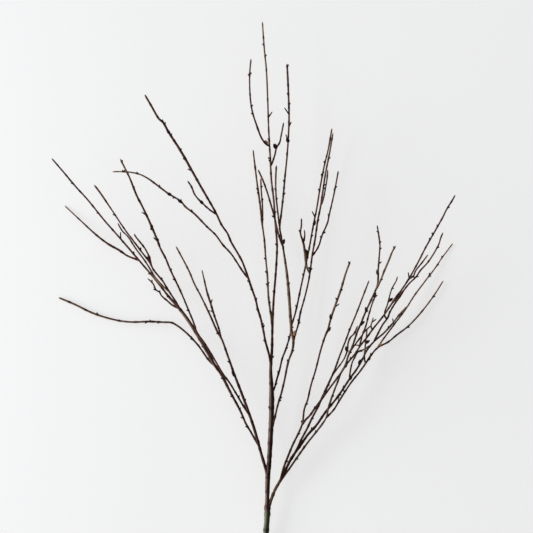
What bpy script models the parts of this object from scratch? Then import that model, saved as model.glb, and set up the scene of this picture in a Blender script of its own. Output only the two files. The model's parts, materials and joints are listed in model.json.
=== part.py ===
"""A leafless cut twig, lying on a flat surface: one grown piece of wood.

The cut stem runs along +Y from its thick end. It divides at a swollen node into the leader and
a spray on the right, and the leader carries a spray on the left and slender shoots up to its tip.
Routes are seen from above, with x across the twig, y along it from a point on the stem, and
heights above the surface. They are in millimetres, and MM turns them into metres.
"""

import math
import random
from collections import namedtuple

import bmesh
import bpy
from mathutils import Matrix, Vector
from mathutils.kdtree import KDTree

MM = 0.001

# Sections have few sides, so they are drawn as wide as a round one of the same area.
SHOOT_BEVEL_RESOLUTION = 1
LEADER_BEVEL_RESOLUTION = 2
SPUR_BEVEL_RESOLUTION = 0

# A smooth line has this many steps from each of a route's points to the next. A shoot has a ring
# at each of those points, unless it comes too soon after another ring.
STEPS = 12
RING_GAP = 9.5

# A shoot's root starts on its parent's middle line and swells to a collar outside it.
ROOT_SHARE = 0.62
COLLAR_DISTANCE = 6.5
COLLAR_SHARE = 1.12
TIP_LENGTH = 3.0
TIP_SHARE = 0.45

BUD_SEED = 11
BUD_SPACING = 74.0
BUD_JITTER = 12.0
FIRST_BUD = 30.0
BUD_LENGTH = 5.6
BUD_ROOT_DEPTH = 1.5
BUD_SHARE = 0.85
BUD_SIDES = 5
BUD_LEAN = math.radians(36)
BUD_TURN = math.radians(137.5)
FAT_BUD_LENGTH = 4.2
FAT_BUD_RISE = 2.2
FAT_BUD_THICKNESS = 2.0
FAT_BUD_LIFT = 1.0

# A spur is thickest from part of the way along its first stretch.
SPUR_RADIUS = 1.15
SPUR_TIP_RADIUS = 0.85
SPUR_ROOT_SHARE = 0.8
SPUR_SHOULDER = 0.6

# Sections are turned about their lines, so that no two tubes have their sides in line.
LEADER_TURN = 0.2
FIRST_SPUR_TURN = 0.4

SHARP_ANGLE = math.radians(50)

BARK_COLOUR = (0.065, 0.040, 0.031, 1.0)
BARK_ROUGHNESS = 0.72

# The stem and leader: x, y, height of the middle line, and radius.
LEADER = (
    (-4, -90, 4.85, 4.7), (-2, -40, 8.5, 4.5), (-1.5, 0, 11, 4.4), (0, 20, 13, 4.3),
    (0.5, 34, 14, 5.1), (0.5, 44, 15, 3.9), (0.5, 54, 15.7, 3.25), (1, 80, 18, 3.7),
    (3.5, 110, 20.5, 3.55), (5, 140, 23, 3.85), (6.5, 170, 25, 3.8), (7, 200, 27.5, 4.15),
    (6.5, 222, 29, 3.1), (5.5, 245, 30.5, 2.4), (7.5, 275, 32.5, 2.0), (8, 305, 34, 1.8),
    (10, 350, 37, 1.7), (13.5, 395, 39.5, 1.65), (15, 432, 41.5, 1.7), (12, 470, 43, 1.6),
    (10, 500, 44, 1.6), (6.5, 530, 45, 1.6), (5, 560, 46, 1.5), (2.5, 605, 47.5, 1.35),
    (1, 650, 49, 1.25), (-1, 695, 50.5, 1.2), (-4, 725, 51.5, 1.15), (-7, 767, 52.5, 1.05),
)

# Each shoot: its parent, its radii at equal shares of its length from root to tip, the heights
# that it passes at equal shares after the root, and its route. A parent stands above its shoots.
Shoot = namedtuple("Shoot", "parent radii heights route")
SHOOTS = {
    "crown_left": Shoot("leader", (1.4, 1.35, 1.2, 1.2), (60, 74), (
        (4, 580), (-2, 584), (-8, 592), (-14, 607), (-22, 632), (-25, 652), (-26, 686), (-24, 711))),
    "crown_right": Shoot("leader", (1.5, 1.5), (37, 28), (
        (5, 550), (8, 556), (12, 568), (14, 577), (19, 586), (21.4, 597), (25, 616))),
    "inner_right": Shoot("leader", (1.7, 1.5, 1.6, 2.2, 2.2, 1.5, 1.45, 1.25, 1.2, 1.4, 1.5), (
        46, 76, 104), (
        (6, 150), (11, 170), (16.5, 193), (21.4, 209), (26.4, 230), (32, 257), (38, 274), (39.5, 288),
        (36.5, 304), (35, 326), (33.1, 354), (30, 387), (25.2, 421), (21, 446), (19, 457),
        (21, 476), (24, 502), (27, 535), (30, 565), (32, 595), (33, 625), (32, 660), (30, 703))),
    "inner_right_side": Shoot("inner_right", (1.3, 1.15), (82, 92), (
        (19, 459), (17.5, 470), (16, 482), (13.5, 507), (13, 530), (14, 551))),
    "crossing": Shoot("inner_right", (1.35, 1.2), (66, 74), (
        (25, 428), (21, 436), (17.5, 447), (12.5, 468), (6, 492), (0, 512), (-5, 526), (-13.5, 545))),
    "inner_left": Shoot("leader", (1.5, 1.5, 1.4, 1.35, 1.15), (24, 14), (
        (8, 305), (7.5, 313), (5, 332), (2, 357), (0.5, 386), (-2, 413), (-4, 440), (-7.5, 465),
        (-10, 490), (-14, 518), (-18, 550), (-21, 575))),
    "inner_left_side": Shoot("inner_left", (1.25, 1.2), (9, 6), (
        (-7, 462), (-6.5, 480), (-7, 494), (-8.5, 512), (-9.5, 532))),
    "outer_right": Shoot("leader", (1.5, 1.2), (22, 14, 20), (
        (6.8, 209), (11, 217), (15.2, 232), (19, 245), (23, 262), (28, 275), (35, 298), (38, 315),
        (42, 328), (46, 345), (51.6, 372), (56, 392), (61, 415), (65, 436), (70, 464), (74, 483),
        (80, 520), (86, 551), (92, 576), (97.5, 607))),
    "fork_right": Shoot("inner_right", (1.6, 1.25), (46, 50, 62), (
        (39.3, 286), (42, 297), (46.7, 312), (50.3, 331), (57, 355), (62.7, 380), (66, 402), (68, 418),
        (72, 440), (76, 468), (80, 488), (84, 515), (88, 541), (93, 566), (99, 600))),
    "fork_right_side": Shoot("fork_right", (1.2, 1.15), (66, 80), (
        (81, 492), (84.5, 501), (87, 514), (90, 532), (91, 545))),
    "long_side": Shoot("fork_right", (1.3, 1.2, 1.05, 1.1, 1.1), (38, 26), (
        (68, 416), (74, 424), (78.5, 433), (82, 445), (91, 466), (93, 476), (97, 493), (101, 511),
        (107, 543))),
    "knotted": Shoot("fork_right", (1.3, 1.9, 1.8, 1.3, 1.25), (62, 78), (
        (64, 390), (60.5, 396.5), (58, 408), (56.5, 424), (54, 437), (50, 450), (51.5, 461),
        (51.5, 472))),
    "knotted_side": Shoot("knotted", (1.1, 1.05), (66,), (
        (54.3, 436), (56.5, 445), (56, 455))),
    "left_arm": Shoot("leader", (1.8, 1.65, 1.5, 2.0, 1.5), (50, 72, 100), (
        (6, 254), (3.5, 266), (-2.5, 288), (-5.3, 303), (-9.3, 321), (-13.9, 336), (-17, 350),
        (-24, 370), (-31, 391), (-38, 409), (-54, 437), (-59, 449), (-68, 462), (-76, 479),
        (-100, 521), (-114, 546), (-130, 574), (-148, 602), (-155.5, 615.5), (-161.5, 620.5), (-174.5, 642.5),
        (-183, 657))),
    "left_arm_low": Shoot("left_arm", (1.4, 1.4, 1.55, 1.4, 1.0), (40, 30, 36), (
        (-28, 382), (-36, 392), (-54, 419), (-66, 432), (-77, 447), (-89.3, 458.7), (-109.6, 479.4),
        (-122, 489), (-130, 498), (-148, 509), (-160, 518), (-179, 532), (-191, 538), (-204, 541),
        (-218, 542), (-232, 542))),
    "left_arm_side": Shoot("left_arm", (1.4, 1.4, 1.15), (84, 92), (
        (-75.5, 478), (-85, 484), (-104, 502), (-109, 509), (-113, 519), (-119, 528))),
    "left_inner": Shoot("leader", (2.2, 2.0, 1.7, 1.3, 1.25), (30, 46, 72), (
        (1.2, 84), (-2.5, 98), (-9, 120), (-14, 138), (-20, 159), (-25.5, 175), (-37.5, 208),
        (-49, 238), (-61, 272), (-68, 291), (-74, 301), (-86, 328), (-100, 357), (-109, 374),
        (-116, 391), (-130.8, 419.7), (-136.5, 430))),
    "left_inner_side": Shoot("left_inner", (1.4, 1.5, 1.6, 0.95), (76, 96), (
        (-69, 292), (-71.5, 304), (-79.5, 328), (-84.6, 345), (-89.6, 361), (-94, 380), (-97.5, 395))),
    "left_middle": Shoot("left_inner", (1.55, 1.4, 1.4, 1.7, 1.35), (36, 50, 74), (
        (-25.7, 176), (-34.5, 189), (-49.5, 214.5), (-57, 226.5), (-65, 237), (-81, 264),
        (-96, 288), (-105, 300), (-109.5, 314), (-117.5, 333.8), (-129.7, 362.7), (-145.5, 396),
        (-152, 412), (-159.5, 426.2), (-164, 438), (-174, 462), (-187, 490), (-195, 505.5),
        (-206, 533), (-220, 561))),
    "left_low": Shoot("left_inner", (
        1.6, 1.6, 1.9, 2.3, 2.7, 2.6, 1.6, 1.5, 1.45, 1.3, 1.35, 1.35, 1.15), (20, 24, 44), (
        (-12, 131), (-18.5, 141), (-24, 151), (-31.5, 163.5), (-40, 183), (-55.5, 212), (-70, 240),
        (-79, 252.5), (-91.5, 275), (-108, 303), (-122, 324), (-133.5, 339), (-144, 350.5),
        (-151.5, 359.5), (-159.5, 370), (-168, 380.5), (-175, 389), (-193, 410), (-210, 430),
        (-223.5, 445.5), (-244.5, 469.5), (-270, 501),
        (-286.5, 519), (-307.5, 544), (-323, 562))),
    "left_floor": Shoot("left_low", (1.35, 1.45, 1.35), (8, 4.5, 3), (
        (-78, 251), (-86, 257.5), (-103.5, 281.5), (-120, 299), (-133.5, 310), (-143, 315.3),
        (-156, 316.1), (-176, 317), (-205, 316.4), (-228, 319.5), (-261.2, 329.5), (-288.2, 342.5),
        (-313, 353))),
    "left_short": Shoot("left_low", (1.5, 1.45), (14, 9), (
        (-132, 337), (-142.5, 342), (-150.5, 349), (-158.5, 356), (-161.5, 361.5), (-167, 364.6),
        (-169.5, 371), (-172.5, 375.5), (-179.5, 382))),
    "left_outer": Shoot("left_low", (1.4, 1.75, 1.25, 0.95), (10, 1.05), (
        (-192, 409), (-210, 416), (-220, 423), (-239.5, 434.2), (-258, 448.5), (-283.5, 472),
        (-304, 491))),
    "left_high": Shoot("left_low", (1.5, 1.45, 1.35, 1.15, 1.55), (36, 52, 66), (
        (-131.5, 337), (-138, 348.5), (-144.5, 358.5), (-150.5, 368), (-156.8, 378.5),
        (-165.4, 388.5), (-171, 396), (-175.3, 405),
        (-187.5, 421), (-201, 439), (-213, 455), (-231, 482), (-251, 511.6), (-259, 522))),
    "left_high_side": Shoot("left_high", (1.3, 1.3), (50, 60), (
        (-173.5, 401), (-177, 415), (-183.5, 427.5), (-196.5, 444), (-199.5, 449))),
    "left_between": Shoot("left_high", (1.3, 1.2), (33, 40), (
        (-147, 362), (-157, 371), (-168, 384), (-182, 406.5), (-196.5, 426), (-209, 445),
        (-217, 453), (-224, 465))),
    "right_spray": Shoot("leader", (2.55, 2.1, 1.75, 1.45, 1.2), (17, 20, 24), (
        (1, 36), (6, 49), (12.7, 65.8), (21, 80), (29, 97), (37.5, 113), (50, 131), (62, 148),
        (73.5, 160.5), (88.5, 182), (105, 202.5), (115.5, 218), (124, 231), (134, 244.5),
        (143, 260), (150, 274), (160.5, 287), (175.5, 300), (189, 315), (199.5, 328.5),
        (211, 340.5))),
    "right_inner": Shoot("right_spray", (1.6, 1.5, 1.25, 1.2, 1.5, 1.75, 1.45), (40, 66, 88), (
        (20.5, 79), (24.5, 96), (32, 116), (39.5, 134), (46, 147), (53, 164), (56, 186), (61, 200),
        (65.5, 220), (73, 245), (80.6, 275), (87, 295), (91.5, 306), (95, 320), (102, 341), (110.3, 364.2),
        (118, 390), (124.5, 407.5))),
    "right_high": Shoot("right_inner", (1.6, 1.5, 1.4, 1.2), (58, 84, 110), (
        (53, 163), (58, 170), (64.5, 176.5), (71, 186), (81, 199.5), (94, 217.5), (108, 236.5),
        (117.5, 251), (121, 264), (127, 278), (131, 289), (136, 304), (140, 313), (147.5, 331.5),
        (157, 352), (164, 368), (166, 377), (166.5, 395), (168, 417), (168.9, 430), (167.2, 446),
        (164.6, 461.5))),
    "right_high_side": Shoot("right_high", (1.4, 1.6, 1.15), (100, 96), (
        (164, 367), (170, 379), (174.6, 391.3), (181.1, 406.3), (187.2, 421.3), (192.5, 431))),
    "right_middle": Shoot("right_spray", (1.5, 1.2), (30, 44, 58), (
        (40, 116), (45, 126), (52, 141), (60, 156), (67, 171), (76, 188), (84, 206), (96, 232),
        (102, 246), (109.5, 267), (118.5, 290), (123.5, 303.8), (135.4, 332.8), (144, 355.5), (153, 379))),
    "right_twist": Shoot("right_middle", (1.15, 1.1, 1.4, 1.25), (30, 26), (
        (99, 238), (105, 246), (115, 260), (119, 269), (121, 276), (121.5, 284), (125, 293),
        (131, 299.5), (136, 311))),
    "right_cross": Shoot("right_high", (1.25, 1.1), (66, 70), (
        (124, 272), (131, 281.5), (141.5, 295.5), (147, 303), (156, 311.5))),
    "right_leader": Shoot("right_spray", (1.5, 1.4, 1.2), (34, 54, 70), (
        (20.5, 78.5), (31, 92.5), (46.5, 115), (60, 134), (73.5, 151), (83, 163.5), (89.5, 174.5),
        (92, 187), (99, 208.5), (106.5, 228), (113, 244.5), (122, 256.5), (133, 270), (140, 281),
        (149.5, 293), (158, 305), (175.5, 327), (187, 344), (199.5, 361.5), (213, 382), (228, 409),
        (237, 427), (251.6, 452.6), (263, 473), (270, 487), (277, 498), (282, 507))),
    "right_leader_side": Shoot("right_leader", (1.25, 1.2), (74, 84), (
        (212.5, 381), (219.5, 386), (222.5, 393), (232.5, 406), (241, 417.5))),
    "right_thread": Shoot("right_leader", (1.3, 1.15), (52, 62), (
        (138.5, 279), (140.5, 287), (144, 300), (148, 310), (152.5, 327), (158, 345), (162, 354),
        (166, 357))),
    "right_fork": Shoot("right_leader", (1.1, 1.05), (52, 60), (
        (157.5, 304.5), (156, 311), (157.5, 317), (159.5, 323.5))),
    "right_low": Shoot("right_leader", (1.4, 1.45, 1.25, 0.95), (12, 5, 3), (
        (89, 173), (100, 184.5), (109, 199), (126, 225), (139.5, 242), (148, 254), (157, 267.5),
        (166, 277.5), (183, 287), (195, 297), (211, 309), (223, 321), (237, 337.5), (252, 358),
        (265, 378.5))),
    "right_outer": Shoot("right_low", (1.25, 1.2, 0.95), (10, 6, 1.05), (
        (165.5, 277), (172, 287), (183, 302), (190.5, 312), (208.5, 336), (220.5, 355), (238, 378.4),
        (253, 398), (263, 413), (272, 425), (279, 434.5))),
    "right_upper": Shoot("right_spray", (1.4, 1.2), (30, 38, 44), (
        (160.5, 287), (165.5, 297), (174, 313), (181, 322.5), (184.5, 331.5), (195, 349),
        (206, 365), (214.5, 375.5), (223.5, 384), (229.5, 393), (242, 407), (253.5, 425),
        (258, 434), (260, 441), (264, 451))),
    "right_hook": Shoot("right_upper", (1.3, 1.2), (40, 54), (
        (179.5, 321), (177, 325), (177, 332), (181, 343.5), (184.5, 358), (187.5, 367), (194, 379),
        (195.5, 385))),
    "right_bridge": Shoot("right_spray", (1.25, 1.2), (23, 26.5), (
        (124, 231), (124.5, 239), (128, 256), (132, 264), (136, 271), (146, 275.5), (155, 282))),
    "right_sucker": Shoot("right_low", (1.4, 1.45, 1.2, 1.05), (31, 31, 27), (
        (148, 254), (146, 262), (147, 275), (148, 286), (149.5, 299), (150, 307))),
}

# Short side twigs: the shoot that each grows from, how far it rises, and its route.
SPURS = (
    ("leader", 4, ((2, 623), (8, 632))),
    ("inner_right", 3, ((32.5, 628), (26, 637.5))),
    ("inner_right", 4, ((32.5, 608), (36.5, 616.5))),
    ("inner_right", -3, ((31.5, 587), (28, 598))),
    ("outer_right", 4, ((72, 474), (67.5, 483))),
    ("left_arm", 2, ((-113, 543), (-119, 546))),
    ("left_inner_side", 3, ((-84, 344), (-82, 351))),
    ("left_middle", 3, ((-181.5, 477), (-188, 481.5))),
    ("left_middle", -2, ((-163.5, 437), (-170.5, 443.5))),
    ("left_low", 4, ((-219.5, 441), (-220, 451.5))),
    ("right_inner", 3, ((90, 302), (96, 308.5))),
    ("right_inner", -3, ((101, 338.5), (108.5, 344))),
    ("right_high", 3, ((139.5, 311.5), (144, 314.5), (146.5, 318))),
    ("right_high", 4, ((167.5, 404), (171.5, 407))),
    ("right_leader", 4, ((213, 382), (211.5, 391.5))),
    ("right_leader", 3, ((138.5, 278.5), (137.5, 281.5), (132, 281.5))),
    ("right_outer", 3, ((190.5, 312), (188.5, 322))),
    ("right_fork", 3, ((157.3, 316), (164, 321))),
)

# Plump buds: the shoot that each sits on, its place, and the way that it points in plan.
FAT_BUDS = (
    ("crown_right", (13, 577), (-2, 4)),
    ("inner_right", (24, 434), (1.5, 5)),
    ("right_inner", (96, 321), (-1, 6)),
    ("right_inner", (91, 303), (3, 4)),
    ("right_hook", (183, 348), (4, 3)),
    ("right_high", (166, 388), (-1, 5)),
    ("right_high", (149.5, 332), (-1.5, 5)),
    ("right_high", (140, 312), (3, 4)),
    ("right_high", (159.5, 354), (3, 5)),
    ("right_high", (117, 249), (2, 5)),
    ("right_leader", (195.5, 354.5), (3, 5)),
    ("right_upper", (200, 354), (4, 6)),
    ("left_arm", (-146, 599), (-2, 3)),
    ("left_arm_low", (-144, 507), (-4, 2)),
    ("left_arm_low", (-128, 496), (-3, 2)),
    ("left_arm_side", (-96, 494), (-4, 4)),
    ("left_middle", (-172, 457), (-2, 6)),
    ("left_middle", (-163, 438), (-3, 4)),
    ("left_high_side", (-176, 411), (-2, 6)),
    ("left_inner", (-49, 237), (-3, 5)),
    ("outer_right", (60.5, 412), (-0.5, 4)),
    ("outer_right", (61, 419), (-2, 4)),
    ("outer_right", (70, 462), (2, 5)),
    ("right_twist", (120, 273), (-1, 4)),
    ("right_spray", (124, 230), (3, 5)),
    ("right_spray", (138.5, 253), (1, 5)),
    ("right_leader", (43.5, 111.5), (4, -1)),
    ("right_sucker", (148, 285), (5, 3)),
)


def round_share(sides):
    """How much wider a section of few sides is drawn, to hold the area of a round one."""
    return math.sqrt(2 * math.pi / (sides * math.sin(2 * math.pi / sides)))


def curve_through(points):
    """A smooth line through the points, as many short steps (a centripetal Catmull-Rom curve)."""
    ends = [2 * points[0] - points[1], *points, 2 * points[-1] - points[-2]]
    line = [points[0]]
    for before, start, end, after in zip(ends, ends[1:], ends[2:], ends[3:]):
        knots = [0.0]
        for a, b in ((before, start), (start, end), (end, after)):
            knots.append(knots[-1] + math.sqrt((b - a).length))
        for step in range(1, STEPS + 1):
            t = knots[1] + (knots[2] - knots[1]) * step / STEPS
            line.append(between(t, knots, before, start, end, after))
    return line


def between(t, knots, p0, p1, p2, p3):
    """The point at t on the stretch from p1 to p2, by the Barry and Goldman pyramid."""
    def mix(a, b, low, high):
        return a * ((high - t) / (high - low)) + b * ((t - low) / (high - low))

    a1 = mix(p0, p1, knots[0], knots[1])
    a2 = mix(p1, p2, knots[1], knots[2])
    a3 = mix(p2, p3, knots[2], knots[3])
    b1 = mix(a1, a2, knots[0], knots[2])
    b2 = mix(a2, a3, knots[1], knots[3])
    return mix(b1, b2, knots[1], knots[2])


def lengths_along(line):
    """The distance from the start to each point of a line."""
    total = [0.0]
    for a, b in zip(line, line[1:]):
        total.append(total[-1] + (b - a).length)
    return total


def point_at(line, lengths, distance):
    """The point of a line at a distance from its start."""
    for i in range(1, len(line)):
        if lengths[i] >= distance:
            part = (distance - lengths[i - 1]) / (lengths[i] - lengths[i - 1])
            return line[i - 1].lerp(line[i], part)
    return line[-1].copy()


def nearest_height(line, x, y):
    """The height of a line where it passes nearest to a place, seen from above."""
    tree = KDTree(len(line))
    for i, p in enumerate(line):
        tree.insert((p.x, p.y, 0), i)
    tree.balance()
    return line[tree.find((x, y, 0))[1]].z


def rise(route, root_height, heights):
    """The route's smooth line, with its height going through the given ones at equal shares."""
    flat = curve_through([Vector((x, y, 0)) for x, y in route])
    lengths = lengths_along(flat)
    knots = [root_height, *heights]
    if len(heights) == 1:
        knots.insert(1, (root_height + heights[0]) / 2)
    profile = curve_through([Vector((i, h, 0)) for i, h in enumerate(knots)])
    for p, distance in zip(flat, lengths):
        share = distance / lengths[-1] * (len(knots) - 1)
        p.z = next((q.y for q in profile if q.x >= share - 1e-6), knots[-1])
    return flat


def radius_at(name, share):
    """The radius of the leader or a shoot, at a share of its length."""
    if name in SHOOTS:
        radii = SHOOTS[name].radii
        place = share * (len(radii) - 1)
        before = min(int(place), len(radii) - 2)
        return radii[before] + (radii[before + 1] - radii[before]) * (place - before)
    y = LEADER[0][1] + (LEADER[-1][1] - LEADER[0][1]) * share
    return next(p[3] for p in LEADER if p[1] >= y)


def ring_distances(lengths):
    """Where a shoot's rings go: its root, its collar, its route's points, and its tip's ends."""
    tip = lengths[-1] - TIP_LENGTH
    rings = [0.0, COLLAR_DISTANCE]
    for distance in lengths[STEPS::STEPS]:
        if rings[-1] + RING_GAP <= distance <= tip - RING_GAP:
            rings.append(distance)
    return [*rings, tip, lengths[-1]]


def tube(name, points, radii, resolution, turn, group):
    """A closed tube of few sides through the points, which are in millimetres."""
    curve = bpy.data.curves.new(name, "CURVE")
    curve.dimensions = "3D"
    curve.bevel_depth = MM
    curve.bevel_resolution = resolution
    curve.use_fill_caps = True
    widen = round_share(4 + 2 * resolution)
    spline = curve.splines.new("POLY")
    spline.points.add(len(points) - 1)
    for point, place, radius in zip(spline.points, points, radii):
        point.co = (*(place * MM), 1.0)
        point.radius = radius * widen
        point.tilt = turn
    drawn = bpy.data.objects.new(name + "_line", curve)
    bpy.context.scene.collection.objects.link(drawn)
    seen = drawn.evaluated_get(bpy.context.evaluated_depsgraph_get())
    mesh = bpy.data.meshes.new_from_object(seen)
    bpy.data.objects.remove(drawn)
    weld(mesh)
    made = bpy.data.objects.new(name, mesh)
    group.objects.link(made)
    return made


def weld(mesh):
    """Joins a tube's loose end caps to its wall."""
    bm = bmesh.new()
    bm.from_mesh(mesh)
    bmesh.ops.remove_doubles(bm, verts=bm.verts, dist=0.01 * MM)
    bmesh.ops.recalc_face_normals(bm, faces=bm.faces)
    bm.to_mesh(mesh)
    bm.free()


def aimed(place, pointing):
    """The matrix that stands a shape at a place, with its +Z along a direction."""
    return Matrix.Translation(place * MM) @ pointing.to_track_quat("Z", "X").to_matrix().to_4x4()


def add_bmesh(name, bm, group):
    """Puts a finished bmesh in the group as an object."""
    mesh = bpy.data.meshes.new(name)
    bm.to_mesh(mesh)
    bm.free()
    group.objects.link(bpy.data.objects.new(name, mesh))


def small_bud(name, root, pointing, thickness, group):
    """A pointed bud that stands in its shoot from near the shoot's middle line."""
    bm = bmesh.new()
    bmesh.ops.create_cone(
        bm, cap_ends=True, segments=BUD_SIDES, radius1=thickness * MM, radius2=0, depth=BUD_LENGTH * MM,
        matrix=aimed(root + pointing * BUD_LENGTH / 2, pointing))
    add_bmesh(name, bm, group)


def fat_bud(name, place, pointing, group):
    """A plump bud: a long ball with its lower half in the shoot."""
    stretch = Matrix.Diagonal((FAT_BUD_THICKNESS * MM, FAT_BUD_THICKNESS * MM, FAT_BUD_LENGTH * MM, 1))
    bm = bmesh.new()
    bmesh.ops.create_icosphere(bm, subdivisions=1, radius=1, matrix=aimed(place, pointing) @ stretch)
    add_bmesh(name, bm, group)


def grow_shoots(group):
    """Every shoot's middle line by name, and its tube in the group."""
    draw = random.Random(BUD_SEED)
    lines = {"leader": curve_through([Vector(p[:3]) for p in LEADER])}
    for name, shoot in SHOOTS.items():
        height = nearest_height(lines[shoot.parent], *shoot.route[0])
        line = rise(shoot.route, height, shoot.heights)
        lengths = lengths_along(line)
        distances = ring_distances(lengths)
        points = [point_at(line, lengths, d) for d in distances]
        taper = [radius_at(name, d / lengths[-1]) for d in distances]
        shares = [ROOT_SHARE, COLLAR_SHARE, *[1.0] * (len(points) - 3), TIP_SHARE]
        radii = [r * share for r, share in zip(taper, shares)]
        tube(name, points, radii, SHOOT_BEVEL_RESOLUTION, draw.uniform(0, math.pi), group)
        lines[name] = line
    return lines


def grow_spurs(lines, group):
    """The short side twigs, each with its root sunk in its shoot."""
    for number, (parent, lift, route) in enumerate(SPURS):
        height = nearest_height(lines[parent], *route[0])
        share = [i / (len(route) - 1) for i in range(len(route))]
        points = [Vector((x, y, height + lift * s)) for (x, y), s in zip(route, share)]
        points.insert(1, points[0].lerp(points[1], SPUR_SHOULDER))
        body = [SPUR_RADIUS] * (len(points) - 2)
        radii = [SPUR_RADIUS * SPUR_ROOT_SHARE, *body, SPUR_TIP_RADIUS]
        turn = FIRST_SPUR_TURN + number
        tube(f"spur_{number}", points, radii, SPUR_BEVEL_RESOLUTION, turn, group)


def grow_buds(lines, group):
    """Small buds that climb each shoot in a spiral, and the plump ones at their own places."""
    draw = random.Random(BUD_SEED)
    for name, line in lines.items():
        lengths = lengths_along(line)
        distance = FIRST_BUD + draw.uniform(0, BUD_SPACING / 2)
        turn = draw.uniform(0, 2 * math.pi)
        while distance < lengths[-1] - FIRST_BUD / 2:
            root = point_at(line, lengths, distance)
            along = (point_at(line, lengths, distance + 2) - root).normalized()
            across = along.orthogonal().normalized()
            side = Matrix.Rotation(turn, 3, along) @ across
            pointing = along * math.cos(BUD_LEAN) + side * math.sin(BUD_LEAN)
            radius = radius_at(name, distance / lengths[-1])
            depth = max(0.0, radius - BUD_ROOT_DEPTH)
            small_bud(f"bud_{name}_{distance:.0f}", root + side * depth, pointing,
                      min(radius, BUD_ROOT_DEPTH) * BUD_SHARE, group)
            distance += BUD_SPACING + draw.uniform(-BUD_JITTER, BUD_JITTER)
            turn += BUD_TURN
    for number, (name, place, way) in enumerate(FAT_BUDS):
        pointing = Vector((*way, FAT_BUD_LIFT)).normalized()
        root = Vector((*place, nearest_height(lines[name], *place)))
        fat_bud(f"fat_bud_{number}", root + pointing * FAT_BUD_RISE, pointing, group)


def fuse(trunk, group):
    """One solid from the leader and all that grows from it."""
    union = trunk.modifiers.new("union", "BOOLEAN")
    union.operation = "UNION"
    union.operand_type = "COLLECTION"
    union.collection = group
    union.solver = "EXACT"
    seen = trunk.evaluated_get(bpy.context.evaluated_depsgraph_get())
    solid = bpy.data.meshes.new_from_object(seen)
    trunk.modifiers.clear()
    trunk.data = solid
    for part in list(group.objects):
        bpy.data.objects.remove(part)
    bpy.data.collections.remove(group)


def bark():
    """Dark red-brown bark."""
    material = bpy.data.materials.new("bark")
    material.use_nodes = True
    surface = material.node_tree.nodes["Principled BSDF"]
    surface.inputs["Base Color"].default_value = BARK_COLOUR
    surface.inputs["Roughness"].default_value = BARK_ROUGHNESS
    return material


def lay_down(twig):
    """Puts the origin under the middle of the twig, on the surface that it lies on."""
    corners = [v.co for v in twig.data.vertices]
    low = Vector([min(c[i] for c in corners) for i in range(3)])
    high = Vector([max(c[i] for c in corners) for i in range(3)])
    middle = (low + high) / 2
    twig.data.transform(Matrix.Translation((-middle.x, -middle.y, -low.z)))


def main():
    for old in list(bpy.data.objects):
        bpy.data.objects.remove(old)
    parts = bpy.data.collections.new("twig")
    side_growth = bpy.data.collections.new("side_growth")
    bpy.context.scene.collection.children.link(parts)
    bpy.context.scene.collection.children.link(side_growth)

    leader_points = [Vector(p[:3]) for p in LEADER]
    leader_radii = [p[3] for p in LEADER]
    twig = tube("twig", leader_points, leader_radii, LEADER_BEVEL_RESOLUTION, LEADER_TURN, parts)
    lines = grow_shoots(side_growth)
    grow_spurs(lines, side_growth)
    grow_buds(lines, side_growth)
    fuse(twig, side_growth)
    lay_down(twig)
    twig.data.materials.clear()
    twig.data.materials.append(bark())
    twig.data.shade_smooth()
    twig.data.set_sharp_from_angle(angle=SHARP_ANGLE)
    print("twig triangles", sum(len(p.vertices) - 2 for p in twig.data.polygons))
    print("twig size in metres", [round(v, 4) for v in twig.dimensions])


main()
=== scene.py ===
# %% [markdown]
# # A bare twig, cut and laid down
# This lesson dresses one leafless twig. The real one is a cut stem with a swollen node, a leader
# that runs on to the top, and sprays of thin shoots to its left and right, all of one piece.
# We load the measured solid first and keep its box, which places everything made here. We load
# the measured solid first, because every piece here has to stay inside its box.

import json
import math
import random
from collections import namedtuple

import bmesh
import bpy
from mathutils import Matrix, Vector, noise
from mathutils.kdtree import KDTree

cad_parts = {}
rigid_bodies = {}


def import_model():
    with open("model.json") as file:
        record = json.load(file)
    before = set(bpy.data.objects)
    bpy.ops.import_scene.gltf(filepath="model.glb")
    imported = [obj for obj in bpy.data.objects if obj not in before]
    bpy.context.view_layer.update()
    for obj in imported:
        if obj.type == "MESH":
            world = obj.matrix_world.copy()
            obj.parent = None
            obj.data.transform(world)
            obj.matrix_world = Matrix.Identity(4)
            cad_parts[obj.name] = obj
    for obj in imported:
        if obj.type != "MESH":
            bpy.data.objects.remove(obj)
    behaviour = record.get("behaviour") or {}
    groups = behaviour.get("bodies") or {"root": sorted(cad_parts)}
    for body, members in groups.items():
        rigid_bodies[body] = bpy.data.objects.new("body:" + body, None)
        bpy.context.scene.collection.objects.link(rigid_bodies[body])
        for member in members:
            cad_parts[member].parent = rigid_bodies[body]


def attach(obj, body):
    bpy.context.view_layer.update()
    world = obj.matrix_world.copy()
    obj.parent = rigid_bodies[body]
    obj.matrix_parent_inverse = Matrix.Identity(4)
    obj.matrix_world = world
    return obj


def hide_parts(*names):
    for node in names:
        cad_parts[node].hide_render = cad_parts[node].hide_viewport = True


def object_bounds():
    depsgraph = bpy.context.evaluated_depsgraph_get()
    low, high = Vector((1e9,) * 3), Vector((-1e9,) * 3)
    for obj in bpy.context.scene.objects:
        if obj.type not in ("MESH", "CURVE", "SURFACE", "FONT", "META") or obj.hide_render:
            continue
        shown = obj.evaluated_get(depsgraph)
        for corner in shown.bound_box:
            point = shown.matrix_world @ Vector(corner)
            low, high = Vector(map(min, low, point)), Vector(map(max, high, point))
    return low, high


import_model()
cad_low, cad_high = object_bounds()
print("measured twig", [round(v, 4) for v in cad_high - cad_low])
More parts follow.
